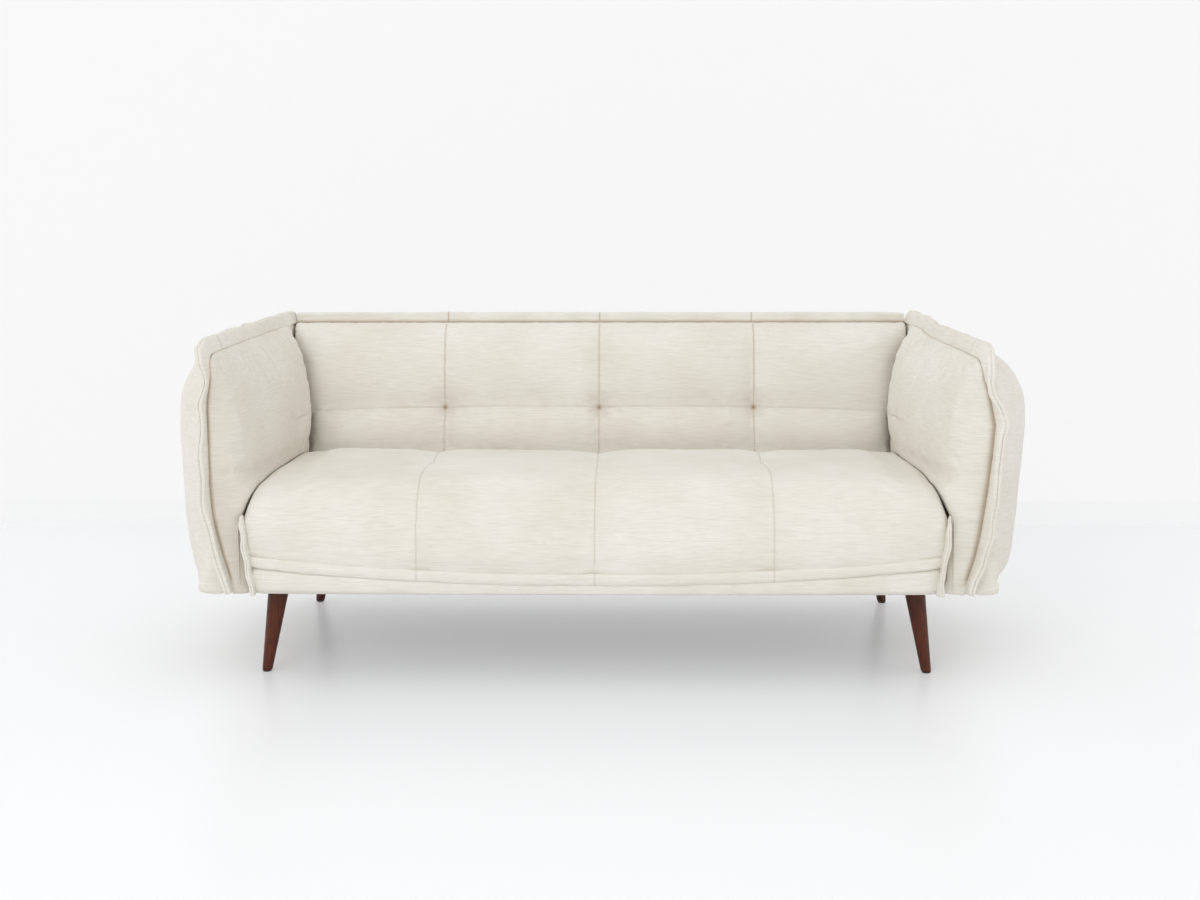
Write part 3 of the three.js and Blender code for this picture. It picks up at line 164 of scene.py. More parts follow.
def slub_linen():
    """Slub linen: dull, pale oatmeal, with long uneven threads that lie level along each panel,
    some a little lighter and some a little darker than the cloth."""
    material, tree, shader, where = start_material("slub linen, oatmeal")
    place, facing = where.outputs["Object"], where.outputs["Normal"]

    # A thread is 0.6 mm thick: drawn 2.2 mm thick, so that it shows from where the camera stands.
    # A slub in it is about 40 mm long.
    thread, slub = 0.0022, 0.040
    upright = add(tree, "ShaderNodeMapping", Vector=place, Scale=(1 / slub, 1 / slub, 1 / thread))
    level = add(tree, "ShaderNodeMapping", Vector=place, Scale=(1 / slub, 1 / thread, 1 / slub))
    parts = add(tree, "ShaderNodeSeparateXYZ", Vector=facing)
    size = add(tree, "ShaderNodeMath", {"operation": "ABSOLUTE"}, _0=parts.outputs["Z"])
    flat = add(tree, "ShaderNodeMapRange", Value=size.outputs[0], From_Min=0.55, From_Max=0.8)
    threads = []
    for lay in (upright, level):
        made = add(tree, "ShaderNodeTexNoise", Vector=lay.outputs[0], Scale=1, Detail=3, Roughness=0.6)
        threads.append(made.outputs["Fac"])
    woven = add(tree, "ShaderNodeMix", Factor=flat.outputs[0], A=threads[0], B=threads[1])
    woven = woven.outputs[0]

    # The dye takes unevenly over a hand's width
    cloudy = add(tree, "ShaderNodeTexNoise", Vector=place, Scale=1 / 0.18, Detail=2)
    thread_tint = ramp(tree, woven, [
        (0.26, linear("#DDD8CE")), (0.5, linear("#E5E2D9")),
        (0.66, linear("#E9E6DE")), (0.76, linear("#F4F3EE")),
    ])
    cloud_tint = ramp(tree, cloudy.outputs["Fac"], [(0.3, linear("#F8F6F2")), (0.7, linear("#FFFFFF"))])
    tint = multiply(tree, 1.0, thread_tint, cloud_tint)
    # Painted shade: the seam attribute darkens and warms the cloth in seams, tufts and crevices, on the back
    # beside the arms and above the seat, and on the arms' insides, where little light reaches
    seam = add(tree, "ShaderNodeAttribute", {"attribute_name": "seam"})
    dark = multiply(tree, seam.outputs["Fac"], tint, linear("#AC8E6A"))

    weave = add(tree, "ShaderNodeTexNoise", Vector=place, Scale=1 / 0.0024, Detail=1)
    height = add(
        tree, "ShaderNodeMath", {"operation": "MULTIPLY_ADD"}, _0=weave.outputs["Fac"], _1=0.4, _2=woven,
    )
    feed(
        tree, shader, Base_Color=dark, Normal=bump(tree, height.outputs[0], 0.35, 0.0006), Roughness=0.92,
        Specular_IOR_Level=0.25, Sheen_Weight=0.12, Sheen_Roughness=0.5,
    )
    return material


def stained_beech():
    """Beech stained walnut brown under satin lacquer: fine straight grain down the leg, and a soft
    highlight."""
    material, tree, shader, where = start_material("beech, walnut stain, satin lacquer")
    # Grain lines are 2.2 mm apart across the leg and run about 90 mm along it
    grain_gap, grain_run = 0.0022, 0.09
    lay = add(
        tree, "ShaderNodeMapping", Vector=where.outputs["Object"],
        Scale=(1 / grain_gap, 1 / grain_gap, 1 / grain_run),
    )
    grain = add(tree, "ShaderNodeTexNoise", Vector=lay.outputs[0], Scale=1, Detail=4, Roughness=0.65)
    broad = add(tree, "ShaderNodeTexNoise", Vector=where.outputs["Object"], Scale=1 / 0.06, Detail=2)
    both = add(
        tree, "ShaderNodeMath", {"operation": "MULTIPLY_ADD"}, _0=broad.outputs["Fac"], _1=0.35,
        _2=grain.outputs["Fac"],
    )
    tint = ramp(tree, both.outputs[0], [
        (0.35, linear("#2A0D02")), (0.62, linear("#491C08")), (0.85, linear("#632C0E")),
    ])
    dull = add(
        tree, "ShaderNodeMapRange", Value=grain.outputs["Fac"], From_Min=0.3, From_Max=0.7,
        To_Min=0.34, To_Max=0.48,
    )
    feed(
        tree, shader, Base_Color=tint, Normal=bump(tree, grain.outputs["Fac"], 0.15, 0.0003),
        Roughness=dull.outputs[0], Specular_IOR_Level=0.28, Coat_Weight=0.05, Coat_Roughness=0.22,
    )
    return material


def planed_pine():
    """Planed pine, bare: pale yellow, with darker growth lines along the board."""
    material, tree, shader, where = start_material("planed pine, bare")
    # Growth lines are about 4 mm apart on a flat-sawn board
    ring, run = 0.004, 0.25
    lay = add(
        tree, "ShaderNodeMapping", Vector=where.outputs["Object"], Scale=(1 / run, 1 / ring, 1 / ring),
    )
    grain = add(tree, "ShaderNodeTexNoise", Vector=lay.outputs[0], Scale=1, Detail=4, Distortion=0.4)
    tint = ramp(tree, grain.outputs["Fac"], [
        (0.3, linear("#B98F58")), (0.5, linear("#D3AE78")), (0.7, linear("#E2C596")),
    ])
    relief = bump(tree, grain.outputs["Fac"], 0.2, 0.0003)
    feed(tree, shader, Base_Color=tint, Normal=relief, Roughness=0.6)
    return material


def zinc_plated_steel():
    """Pressed steel, zinc plated: cool grey, a little clouded, with fine rolling lines."""
    material, tree, shader, where = start_material("steel, zinc plated")
    lay = add(
        tree, "ShaderNodeMapping", Vector=where.outputs["Object"], Scale=(1 / 0.02, 1 / 0.02, 1 / 0.0015),
    )
    lines = add(tree, "ShaderNodeTexNoise", Vector=lay.outputs[0], Scale=1, Detail=2)
    cloud = add(tree, "ShaderNodeTexNoise", Vector=where.outputs["Object"], Scale=1 / 0.012, Detail=3)
    tint = ramp(tree, cloud.outputs["Fac"], [(0.35, linear("#9DA1A6")), (0.65, linear("#C2C5C8"))])
    dull = add(
        tree, "ShaderNodeMapRange", Value=lines.outputs["Fac"], From_Min=0.3, From_Max=0.7,
        To_Min=0.28, To_Max=0.46,
    )
    feed(tree, shader, Base_Color=tint, Roughness=dull.outputs[0], Metallic=1)
    return material


def spunbond_cloth():
    """Spunbond dust cloth: black, matt, with a fine pressed dot pattern."""
    material, tree, shader, where = start_material("polypropylene spunbond, black")
    dots = add(tree, "ShaderNodeTexVoronoi", Vector=where.outputs["Object"], Scale=1 / 0.004)
    tint = ramp(tree, dots.outputs["Distance"], [(0.1, linear("#1D1C1C")), (0.5, linear("#2B2A2A"))])
    relief = bump(tree, dots.outputs["Distance"], 0.3, 0.0004)
    feed(tree, shader, Base_Color=tint, Normal=relief, Roughness=0.95)
    return material


def moulded_nylon():
    """Moulded nylon: dark brown, slightly glossy, with a faint mould texture."""
    material, tree, shader, where = start_material("nylon, moulded")
    fine = add(tree, "ShaderNodeTexNoise", Vector=where.outputs["Object"], Scale=1 / 0.0015, Detail=2)
    tint = ramp(tree, fine.outputs["Fac"], [(0.3, linear("#2A2624")), (0.7, linear("#3A3532"))])
    relief = bump(tree, fine.outputs["Fac"], 0.15, 0.0002)
    feed(tree, shader, Base_Color=tint, Normal=relief, Roughness=0.5)
    return material


LINEN = slub_linen()
FINISHES = {
    "linen": LINEN,
    "leg_wood": stained_beech(),
    "frame_wood": planed_pine(),
    "steel": zinc_plated_steel(),
    "black_cloth": spunbond_cloth(),
    "nylon": moulded_nylon(),
}
for row in frame["record"]["subparts"]:
    mesh = nodes[row["node"]].data
    mesh.materials.clear()
    mesh.materials.append(FINISHES[row["material_slot"]])


# Padded pieces
def choose(piece):
    bpy.ops.object.select_all(action="DESELECT")
    piece.select_set(True)
    bpy.context.view_layer.objects.active = piece


def points_of(piece):
    flat = np.empty(len(piece.data.vertices) * 3)
    piece.data.vertices.foreach_get("co", flat)
    return flat.reshape(-1, 3)


def normals_of(piece):
    flat = np.empty(len(piece.data.vertices) * 3)
    piece.data.vertices.foreach_get("normal", flat)
    return flat.reshape(-1, 3)


def set_points(piece, points):
    piece.data.vertices.foreach_set("co", np.ascontiguousarray(points).ravel())
    piece.data.update()


def merged_copy(node, name):
    """A copy of a CAD node's mesh with its loose triangles joined."""
    piece = bpy.data.objects.new(name, nodes[node].data.copy())
    scene.collection.objects.link(piece)
    piece.data.materials.clear()
    piece.data.materials.append(LINEN)
    choose(piece)
    bpy.ops.object.mode_set(mode="EDIT")
    bpy.ops.mesh.select_all(action="SELECT")
    bpy.ops.mesh.remove_doubles(threshold=0.01 * MM)
    bpy.ops.object.mode_set(mode="OBJECT")
    return piece


def let_down(piece, chosen, drop):
    """Lowers the chosen points of a pad before it is stuffed, so that it settles on what lies under it."""
    points = points_of(piece)
    points[chosen, 2] -= drop
    set_points(piece, points)


def apply_modifier(piece, kind, **settings):
    choose(piece)
    made = piece.modifiers.new(kind.lower(), kind)
    for name, value in settings.items():
        setattr(made, name, value)
    bpy.ops.object.modifier_apply(modifier=made.name)


STUFFING_FRAMES = 20
CLOTH_SETTINGS = {
    "vertex_group_mass": "held", "quality": 4, "mass": 0.3, "tension_stiffness": 12,
    "compression_stiffness": 6, "shear_stiffness": 4, "bending_stiffness": 0.4, "use_pressure": True,
    "uniform_pressure_force": 4.0,
}


def puff(piece, voxel, held, shrink, cap, slack=0.0):
    """Stuffs a pad: an even mesh, set in a little, is blown up by a cloth simulation. held gives each
    point's hold from 0 to 1, and cap is how far a point may move."""
    apply_modifier(piece, "REMESH", mode="VOXEL", voxel_size=voxel)
    apply_modifier(piece, "SMOOTH", factor=0.5, iterations=2)
    start = points_of(piece)
    hold = np.clip(held(start), 0, 1)
    start = start - normals_of(piece) * (shrink * (1 - hold))[:, None]
    set_points(piece, start)
    group = piece.vertex_groups.new(name="held")
    for level in np.unique(np.round(hold, 1)):
        members = np.nonzero(np.round(hold, 1) == level)[0].tolist()
        if level > 0:
            group.add(members, float(level), "REPLACE")
    cloth = piece.modifiers.new("cloth", "CLOTH")
    for name, value in CLOTH_SETTINGS.items():
        setattr(cloth.settings, name, value)
    cloth.settings.shrink_min = -slack
    cloth.settings.effector_weights.gravity = 0
    cloth.point_cache.frame_start = 1
    cloth.point_cache.frame_end = STUFFING_FRAMES
    for frame_number in range(1, STUFFING_FRAMES + 1):
        scene.frame_set(frame_number)
    shaped = piece.evaluated_get(bpy.context.evaluated_depsgraph_get())
    flat = np.empty(len(shaped.data.vertices) * 3)
    shaped.data.vertices.foreach_get("co", flat)
    moved = flat.reshape(-1, 3) - start
    length = np.linalg.norm(moved, axis=1, keepdims=True)
    moved *= np.minimum(1, cap / np.maximum(length, 1e-9))
    piece.modifiers.remove(cloth)
    piece.vertex_groups.remove(group)
    scene.frame_set(1)
    set_points(piece, start + moved)
    apply_modifier(piece, "SUBSURF", levels=1, render_levels=1)


def score(piece, cuts):
    """Cuts edges into the mesh along planes, so that a seam can be pressed in sharply."""
    choose(piece)
    bpy.ops.object.mode_set(mode="EDIT")
    for point, normal in cuts:
        bpy.ops.mesh.select_all(action="SELECT")
        bpy.ops.mesh.bisect(plane_co=point, plane_no=normal, threshold=0.02 * MM)
    # A cut that passes close by a point leaves slivers, which would dent
    bpy.ops.mesh.select_all(action="SELECT")
    bpy.ops.mesh.remove_doubles(threshold=0.6 * MM)
    bpy.ops.object.mode_set(mode="OBJECT")


SEAM_STEPS = (-0.0045, -0.0016, 0, 0.0016, 0.0045)


def soft_noise(points, size, seed):
    """Smooth unevenness from about -1 to 1 at each point: waves that run every way, each about twice
    size long."""
    draw = np.random.default_rng(seed)
    total = np.zeros(len(points))
    for _ in range(14):
        way = draw.normal(size=3)
        way /= np.linalg.norm(way)
        length = 2 * size * draw.uniform(0.7, 1.6)
        total += np.sin(points @ way * (2 * math.pi / length) + draw.uniform(0, 2 * math.pi))
    return total / 4


def bell(distance, width):
    return np.exp(-((distance / width) ** 2))


def rise(value, start, reach):
    """Grows evenly from 0 at start to 1 at a reach beyond it. With a reach below 0 it grows the other
    way."""
    return np.clip((value - start) / reach, 0, 1)


def off_seam(x, seams=SEAMS):
    """How far each point lies from the nearest upright seam."""
    return np.min([np.abs(x - seam) for seam in seams], axis=0)


def seam_cuts(seams=SEAMS):
    return [((seam + step, 0, 0), (1, 0, 0)) for seam in seams for step in SEAM_STEPS]


# Pads that lie on each other are left this far apart
TOUCH = 0.0012


def settle(piece, under, chosen, reach):
    """Draws the chosen points of a pad down onto the pad that they face, where it is within reach."""
    faces = [tuple(face.vertices) for face in under.data.polygons]
    tree = BVHTree.FromPolygons([point.co for point in under.data.vertices], faces)
    points, facing = points_of(piece), normals_of(piece)
    for i in np.nonzero(chosen)[0]:
        place, _, _, distance = tree.find_nearest(Vector(points[i]), reach)
        if place is None or distance < TOUCH:
            continue
        way = (np.array(place) - points[i]) / distance
        share = (1 - distance / reach) * np.clip(way @ facing[i] * 2, 0, 1)
        points[i] += way * (distance - TOUCH) * share
    set_points(piece, points)


def finish_pad(piece):
    choose(piece)
    bpy.ops.object.shade_smooth()


# Writes painted shade, which darkens and warms the linen, into the seam attribute
def mark_painted_shade(piece, amount):
    made = piece.data.attributes.new("seam", "FLOAT", "POINT")
    made.data.foreach_set("value", np.clip(amount, 0, 1).astype(np.float32))


def press(piece, depth):
    """Moves each point inwards along its normal by depth."""
    set_points(piece, points_of(piece) - normals_of(piece) * depth[:, None])


# Seat: one bench pad with three sewn seams that run over its top and down its front
def seam_shift(y, seam):
    """Each outer seam steps sideways where the top panel meets the front panel."""
    outward = math.copysign(1, seam) if seam else 0
    across = np.interp(-y, [-0.10, 0.06, 0.13, 0.16, 0.22, 0.30, 0.43], [0, -3, -9, -4, 2, 3, 2])
    middle = np.interp(-y, [-0.10, 0.2, 0.43], [0, 2, -1])
    return (across * outward if seam else middle) * MM


def seat_hold(points):
    x, y, z = points.T
    under = rise(z, 0.31, -0.02)
    rear = rise(y, 0.075, 0.02)
    ends = rise(np.abs(x), 0.775, 0.02) * rise(z, 0.40, -0.02)
    ends = np.maximum(ends, 0.9 * rise(np.abs(x), 0.68, 0.09))
    along = off_seam(x)
    return np.max([under, rear, ends, 0.2 * bell(along, 0.008)], axis=0)


def make_seat():
    pad = merged_copy("seat_cushion", "seat_pad")
    puff(pad, 0.009, seat_hold, shrink=0.004, cap=0.012, slack=0.01)
    score(pad, seam_cuts())
    points = points_of(pad)
    x, y, z = points.T
    reach = 0.05
    near = np.zeros(len(points))
    shifted = x.copy()
    for seam in SEAMS:
        distance = x - seam
        shifted += seam_shift(y, seam) * bell(distance, reach)
        near = np.maximum(near, bell(distance, 0.0016))
    points[:, 0] = shifted
    set_points(pad, points)
    open_top = rise(z, 0.25, 0.03) * rise(y, 0.10, -0.03)
    along = off_seam(x)
    pucker = soft_noise(np.column_stack([x * 0.3, y, z]), 0.014, 1) * bell(along, 0.016) * 0.0006
    broad = soft_noise(points, 0.16, 2) * 0.0018 + soft_noise(points * (1, 1, 1.8), 0.07, 3) * 0.0006
    loose = bell(along, 0.014) * -0.0035
    press(pad, (loose + near * 0.0014 + pucker + broad) * open_top)
    # Painted shade along the seams
    mark_painted_shade(pad, near * 0.26 * open_top)
    finish_pad(pad)
    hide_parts("seat_cushion")
    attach(pad, "base")
    return pad


def make_front_strip(node, name, puffed, lift, sewn_through):
    """lift is how far the strip's upper edge is pushed up into what lies over it, and sewn_through is how
    clearly the seat's seams run on over it."""
    strip_seams = [seam + float(seam_shift(SEAT_FRONT, seam)) for seam in SEAMS]
    strip = merged_copy(node, name)
    let_down(strip, (normals_of(strip)[:, 2] > 0.3) & (points_of(strip)[:, 2] > 0.205), -lift)
    apply_modifier(strip, "REMESH", mode="VOXEL", voxel_size=0.0045)
    apply_modifier(strip, "SMOOTH", factor=0.6, iterations=4)
    apply_modifier(strip, "SUBSURF", levels=1, render_levels=1)
    if sewn_through:
        score(strip, seam_cuts(strip_seams))
    points = points_of(strip)
    front = rise(points[:, 1], -0.415, -0.01)
    uneven = soft_noise(points * (0.5, 1, 1), 0.035, 4) * 0.0009 - puffed
    press(strip, uneven * front)
    along = off_seam(points[:, 0], strip_seams)
    # Painted shade along the seams that run on over the strip
    mark_painted_shade(strip, bell(along, 0.0022) * 0.22 * sewn_through * front)
    finish_pad(strip)
    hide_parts(node)
    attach(strip, "base")


# Back: a front pad with three seams, a level seam and three tufts, and a plain rear pad
def up_back(points):
    """How far forward of the hinge and how far up the back each point lies, with the back upright."""
    y, z = points[:, 1] - HINGE_Y, points[:, 2] - HINGE_Z
    forward = -y * math.cos(BACK_LEAN) + z * math.sin(BACK_LEAN)
    up = y * math.sin(BACK_LEAN) + z * math.cos(BACK_LEAN)
    return forward, up


def from_back(forward, up):
    y = HINGE_Y + up * math.sin(BACK_LEAN) - forward * math.cos(BACK_LEAN)
    z = HINGE_Z + up * math.cos(BACK_LEAN) + forward * math.sin(BACK_LEAN)
    return y, z


def back_hold(points):
    forward, up = up_back(points)
    x = points[:, 0]
    inside = rise(forward, 0.035, -0.015)
    along = off_seam(x)
    sides = rise(np.abs(x), 0.785, 0.015)
    low = rise(up, 0.09, -0.03)
    stitched = np.maximum(0.6 * bell(along, 0.008), 0.4 * bell(up - BACK_SEAM, 0.010))
    return np.max([inside, stitched, sides, low], axis=0)


def make_back_front():
    pad = merged_copy("back_front_pad", "back_pad")
    puff(pad, 0.009, back_hold, shrink=0.004, cap=0.012, slack=0.01)
    cuts = seam_cuts()
    up_way = (0, math.sin(BACK_LEAN), math.cos(BACK_LEAN))
    for step in SEAM_STEPS:
        y, z = from_back(0, BACK_SEAM + step)
        cuts.append(((0, y, z), up_way))
    for step in SEAM_STEPS[1:-1]:
        y, z = from_back(0, TOP_PANEL_SEAM + step)
        cuts.append(((0, y, z), up_way))
    score(pad, cuts)
    points = points_of(pad)
    forward, up = up_back(points)
    x = points[:, 0]
    # The level seam sinks a little towards both ends
    sunk = rise(np.abs(x), SEAM_SPACING, 0.3) * bell(up - BACK_SEAM, 0.06) * 0.010
    points[:, 1] -= sunk * math.sin(BACK_LEAN)
    points[:, 2] -= sunk * math.cos(BACK_LEAN)
    # The sides are stuffed out to the arms
    filled = 0.0015 + 0.0015 * rise(up, 0.30, 0.06)
    points[:, 0] += np.copysign(rise(np.abs(x), 0.780, 0.02) * filled, x)
    set_points(pad, points)
    along = off_seam(x)
    tuft = np.hypot(along, up - BACK_SEAM)
    front = rise(forward, 0.04, 0.02)
    upright_seam = bell(along, 0.0018)
    level_seam = bell(up - BACK_SEAM, 0.0018) * (0.45 + 0.55 * bell(tuft, 0.12))
    dimple = bell(tuft, 0.034) * 0.005 + bell(tuft, 0.008) * 0.005
    turn = np.arctan2(up - BACK_SEAM, x)
    rays = np.cos(turn * 8 + 1.3) * bell(tuft - 0.028, 0.020) * 0.0012
    pucker = soft_noise(np.column_stack([x, up, forward]), 0.014, 5) * 0.0006
    pucker *= np.maximum(bell(along, 0.016), bell(up - BACK_SEAM, 0.014))
    broad = soft_noise(points, 0.15, 6) * 0.0018
    top_seam = bell(up - TOP_PANEL_SEAM, 0.002) * 0.0009
    loose = bell(up - BACK_SEAM, 0.016) * -0.0035 + bell(along, 0.012) * -0.0015
    seams_in = upright_seam * 0.0022 + level_seam * 0.0016 + top_seam
    press(pad, (loose + seams_in + dimple + rays + pucker + broad) * front)
    # Painted shade: in the seams and tufts, on the back beside the arms, just above the seat, and in the
    # crease under the hem
    stitched = np.maximum(upright_seam * 0.36, level_seam * 0.28)
    in_tuft = 0.20 * bell(tuft, 0.026) + 0.6 * bell(tuft, 0.005)
    beside_arm = 0.48 * bell(np.abs(x) - 0.800, 0.045) * rise(up, 0.40, -0.2)
    above_seat = 0.08 * bell(up - 0.11, 0.045)
    shade = np.max([stitched, in_tuft, beside_arm, above_seat], axis=0) * front
    under_hem = 0.8 * bell(forward - BACK_RIDGE - 0.007, 0.006) * rise(up, 0.39, 0.02)
    mark_painted_shade(pad, np.maximum(shade, under_hem))
    finish_pad(pad)
    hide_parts("back_front_pad")
    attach(pad, "back")


def rear_hold(points):
    forward, up = up_back(points)
    inside = rise(forward, -0.05, 0.02)
    sides = rise(np.abs(points[:, 0]), 0.78, 0.02)
    return np.max([inside, sides, rise(up, 0.02, -0.02)], axis=0)


def make_back_rear():
    pad = merged_copy("back_rear_pad", "back_rear_cover")
    puff(pad, 0.010, rear_hold, shrink=0.003, cap=0.008)
    score(pad, seam_cuts())
    points = points_of(pad)
    forward, up = up_back(points)
    along = off_seam(points[:, 0])
    outside = rise(-forward, 0.035, 0.02)
    seam = bell(along, 0.0022)
    broad = soft_noise(points, 0.18, 7) * 0.002
    pucker = soft_noise(points, 0.018, 8) * 0.0006 * bell(along, 0.016)
    press(pad, (seam * 0.0025 + broad + pucker) * outside)
    # It is stuffed no fuller where it comes down on the rear rail when the back lies flat
    points = points_of(pad)
    forward, up = up_back(points)
    proud = np.maximum(-forward - RAIL_CLEAR, 0) * rise(np.abs(up - RAIL_UP), 0.045, -0.02)
    points[:, 1] -= proud * math.cos(BACK_LEAN)
    points[:, 2] += proud * math.sin(BACK_LEAN)
    set_points(pad, points)
    # Painted shade along the seams
    mark_painted_shade(pad, seam * 0.7 * outside)
    finish_pad(pad)
    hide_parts("back_rear_pad")
    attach(pad, "back")


# Arms: an inner and an outer pad each, drawn together at the ridge where the flange is sewn
def ridge_x(y, z):
    up = (z - ARM_UNDERSIDE) / (ARM_FRONT_TOP - ARM_UNDERSIDE)
    low = 2 * (up - 0.5) * (up - 1) * RIDGE_LOW
    middle = -4 * up * (up - 1) * RIDGE_MIDDLE
    top = 2 * up * (up - 0.5) * RIDGE_TOP
    return low + middle + top - RIDGE_TAPER * up * (y - ARM_FRONT) / (ARM_REAR - ARM_FRONT)


def arm_top(y):
    slope = ARM_FRONT_TOP + (ARM_REAR_TOP - ARM_FRONT_TOP) * (y - ARM_FRONT) / (ARM_REAR - ARM_FRONT)
    into = np.clip((ARM_CORNER - np.minimum(y - ARM_FRONT, ARM_REAR - y)) / ARM_CORNER, 0, 1)
    return slope - ARM_CORNER * (1 - np.sqrt(1 - into ** 2))


# The right arm is stuffed a little fuller on its outside than the left one
OUTER_FILLING = {"left": -0.006, "right": 0.011}
OUTER_SWELL = {"left": 0.004, "right": 0.009}
LOW_CORNER_FILLING = {"left": 0.046, "right": 0.050}
# Painted shade, a little darker, over the left arm's inside, which faces away from the light
INNER_SHADE = {"left": 0.09, "right": 0.0}


def draw_ridge(label, side, points):
    """The flange and the cloth beside it, drawn off their even line as they are sewn: at the top front
    corner inwards, and lower down outwards, more so on the right arm, whose top also sinks."""
    x, y, z = np.abs(points[:, 0]), points[:, 1], points[:, 2]
    outset = x - ridge_x(y, z)
    beside = np.where(outset > 0, bell(outset, 0.09), bell(outset, 0.026)) * bell(y - ARM_FRONT, 0.18)
    if label == "left":
        at_top = -0.012 * bell(z - 0.70, 0.045) - 0.003 * bell(z - 0.76, 0.03)
        lower_down = 0.018 * bell(z - 0.38, 0.14)
        sunk = 0
    else:
        at_top = -0.010 * bell(z - 0.745, 0.055)
        lower_down = 0.028 * rise(z, 0.70, -0.11) * (1 - 0.4 * bell(z - 0.20, 0.07))
        sunk = rise(y, 0.16, -0.10) * rise(z, 0.60, 0.15) * 0.012
    moved = points.copy()
    moved[:, 0] += side * (at_top + lower_down) * beside
    moved[:, 2] -= sunk
    return moved


# The sewn tuft on the inner pad, and the band of heights where that pad lies on the seat
ARM_TUFT_Y = 0.06
OVER_SEAT = (0.38, 0.475)
ARM_DROP, UNDERSIDE_DROP = 0.0055, 0.005
SEAT_REACH = 0.024


def let_down_underside(piece):
    let_down(piece, points_of(piece)[:, 2] < ARM_UNDERSIDE + 0.0005, UNDERSIDE_DROP)


def clear_bolt(inner, label, side):
    """Dents the inner pad round the stile's bolt, which passes it when the back tilts forward."""
    low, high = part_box(f"{label}_stile_bolt")
    head, slack = max(abs(low.x), abs(high.x)), 0.0015
    points = points_of(inner)
    x, y, z = np.abs(points[:, 0]), points[:, 1], points[:, 2]
    beside = (y > low.y - 0.022) & (y < high.y + 0.012) & (z > low.z - 0.012) & (z < high.z + 0.014)
    points[beside, 0] = side * np.maximum(x, head + slack)[beside]
    set_points(inner, points)


def inner_hold(points):
    x, y, z = np.abs(points[:, 0]), points[:, 1], points[:, 2]
    ridge = np.clip(1 - (ridge_x(y, z) - x - 0.012) / 0.02, 0, 1)
    low = rise(z, 0.48, -0.03)
    rear = rise(y, 0.14, 0.03)
    return np.max([ridge, low, rear], axis=0)


def outer_hold(points):
    x, y, z = np.abs(points[:, 0]), points[:, 1], points[:, 2]
    ridge = np.clip(1 - (x - ridge_x(y, z) - 0.012) / 0.02, 0, 1)
    return np.max([ridge, rise(z, 0.23, -0.02)], axis=0)


def make_inner_pad(label, side, seat):
    """The panel that faces the sitter: a short level seam with a tuft, and puckers along the ridge."""
    inner = merged_copy(f"{label}_arm_inner_pad", f"{label}_arm_inner_cover")
    place, facing = points_of(inner), normals_of(inner)
    over_seat = (facing[:, 2] < -0.25) & (place[:, 2] > OVER_SEAT[0]) & (place[:, 2] < OVER_SEAT[1])
    let_down(inner, over_seat, ARM_DROP)
    let_down_underside(inner)
    puff(inner, 0.008, inner_hold, shrink=0.003, cap=0.009, slack=0.02)
    score(inner, [((0, 0, ARM_SEAM_HEIGHT + step), (0, 0, 1)) for step in SEAM_STEPS])
    points = points_of(inner)
    x, y, z = np.abs(points[:, 0]), points[:, 1], points[:, 2]
    face = rise(ridge_x(y, z) - x, 0.02, 0.02) * rise(z, 0.43, 0.02)
    level = bell(z - ARM_SEAM_HEIGHT, 0.0018) * (0.12 + 0.88 * bell(y - ARM_TUFT_Y, 0.07))
    tuft = np.hypot(y - ARM_TUFT_Y, z - ARM_SEAM_HEIGHT)
    turn = np.arctan2(z - ARM_SEAM_HEIGHT, y - ARM_TUFT_Y)
    rays = np.cos(turn * 5 + 0.6) * bell(tuft - 0.03, 0.024) * 0.0010
    broad = soft_noise(points, 0.13, 10 + side) * 0.0020
    inset = ridge_x(y, z) - x
    pucker = soft_noise(points * (0.4, 1, 1), 0.016, 13 + side) * 0.0014 * bell(inset - 0.025, 0.018)
    pucker *= rise(y, 0.30, -0.03)
    sewn = bell(inset - 0.0085, 0.0045) * rise(z, 0.22, 0.02)
    sunk = level * 0.0014 + bell(tuft, 0.016) * 0.004 + rays + broad
    press(inner, sunk * face + pucker + sewn * 0.0025)
    # Painted shade: along the level seam, in the tuft and along the sewn line under the flange, low at the
    # rear of the inside, and over the left arm's inside
    stitched = np.maximum(np.maximum(level * 0.3, bell(tuft, 0.004) * 0.5) * face, sewn * 0.75)
    low_rear = 0.16 * rise(z, 0.53, -0.10) * rise(y, -0.25, 0.30)
    beside_ridge = bell(inset - 0.03, 0.05) * bell(z - 0.40, 0.15)
    turned_away = INNER_SHADE[label] * (1 + 1.2 * beside_ridge)
    mark_painted_shade(inner, np.maximum(stitched, low_rear + turned_away))
    set_points(inner, draw_ridge(label, side, points_of(inner)))
    x, _, z = np.abs(points_of(inner)).T
    settle(inner, seat, (z > 0.36) & (z < 0.49) & (x < 0.86), SEAT_REACH)
    clear_bolt(inner, label, side)
    finish_pad(inner)
    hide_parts(f"{label}_arm_inner_pad")
    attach(inner, "base")


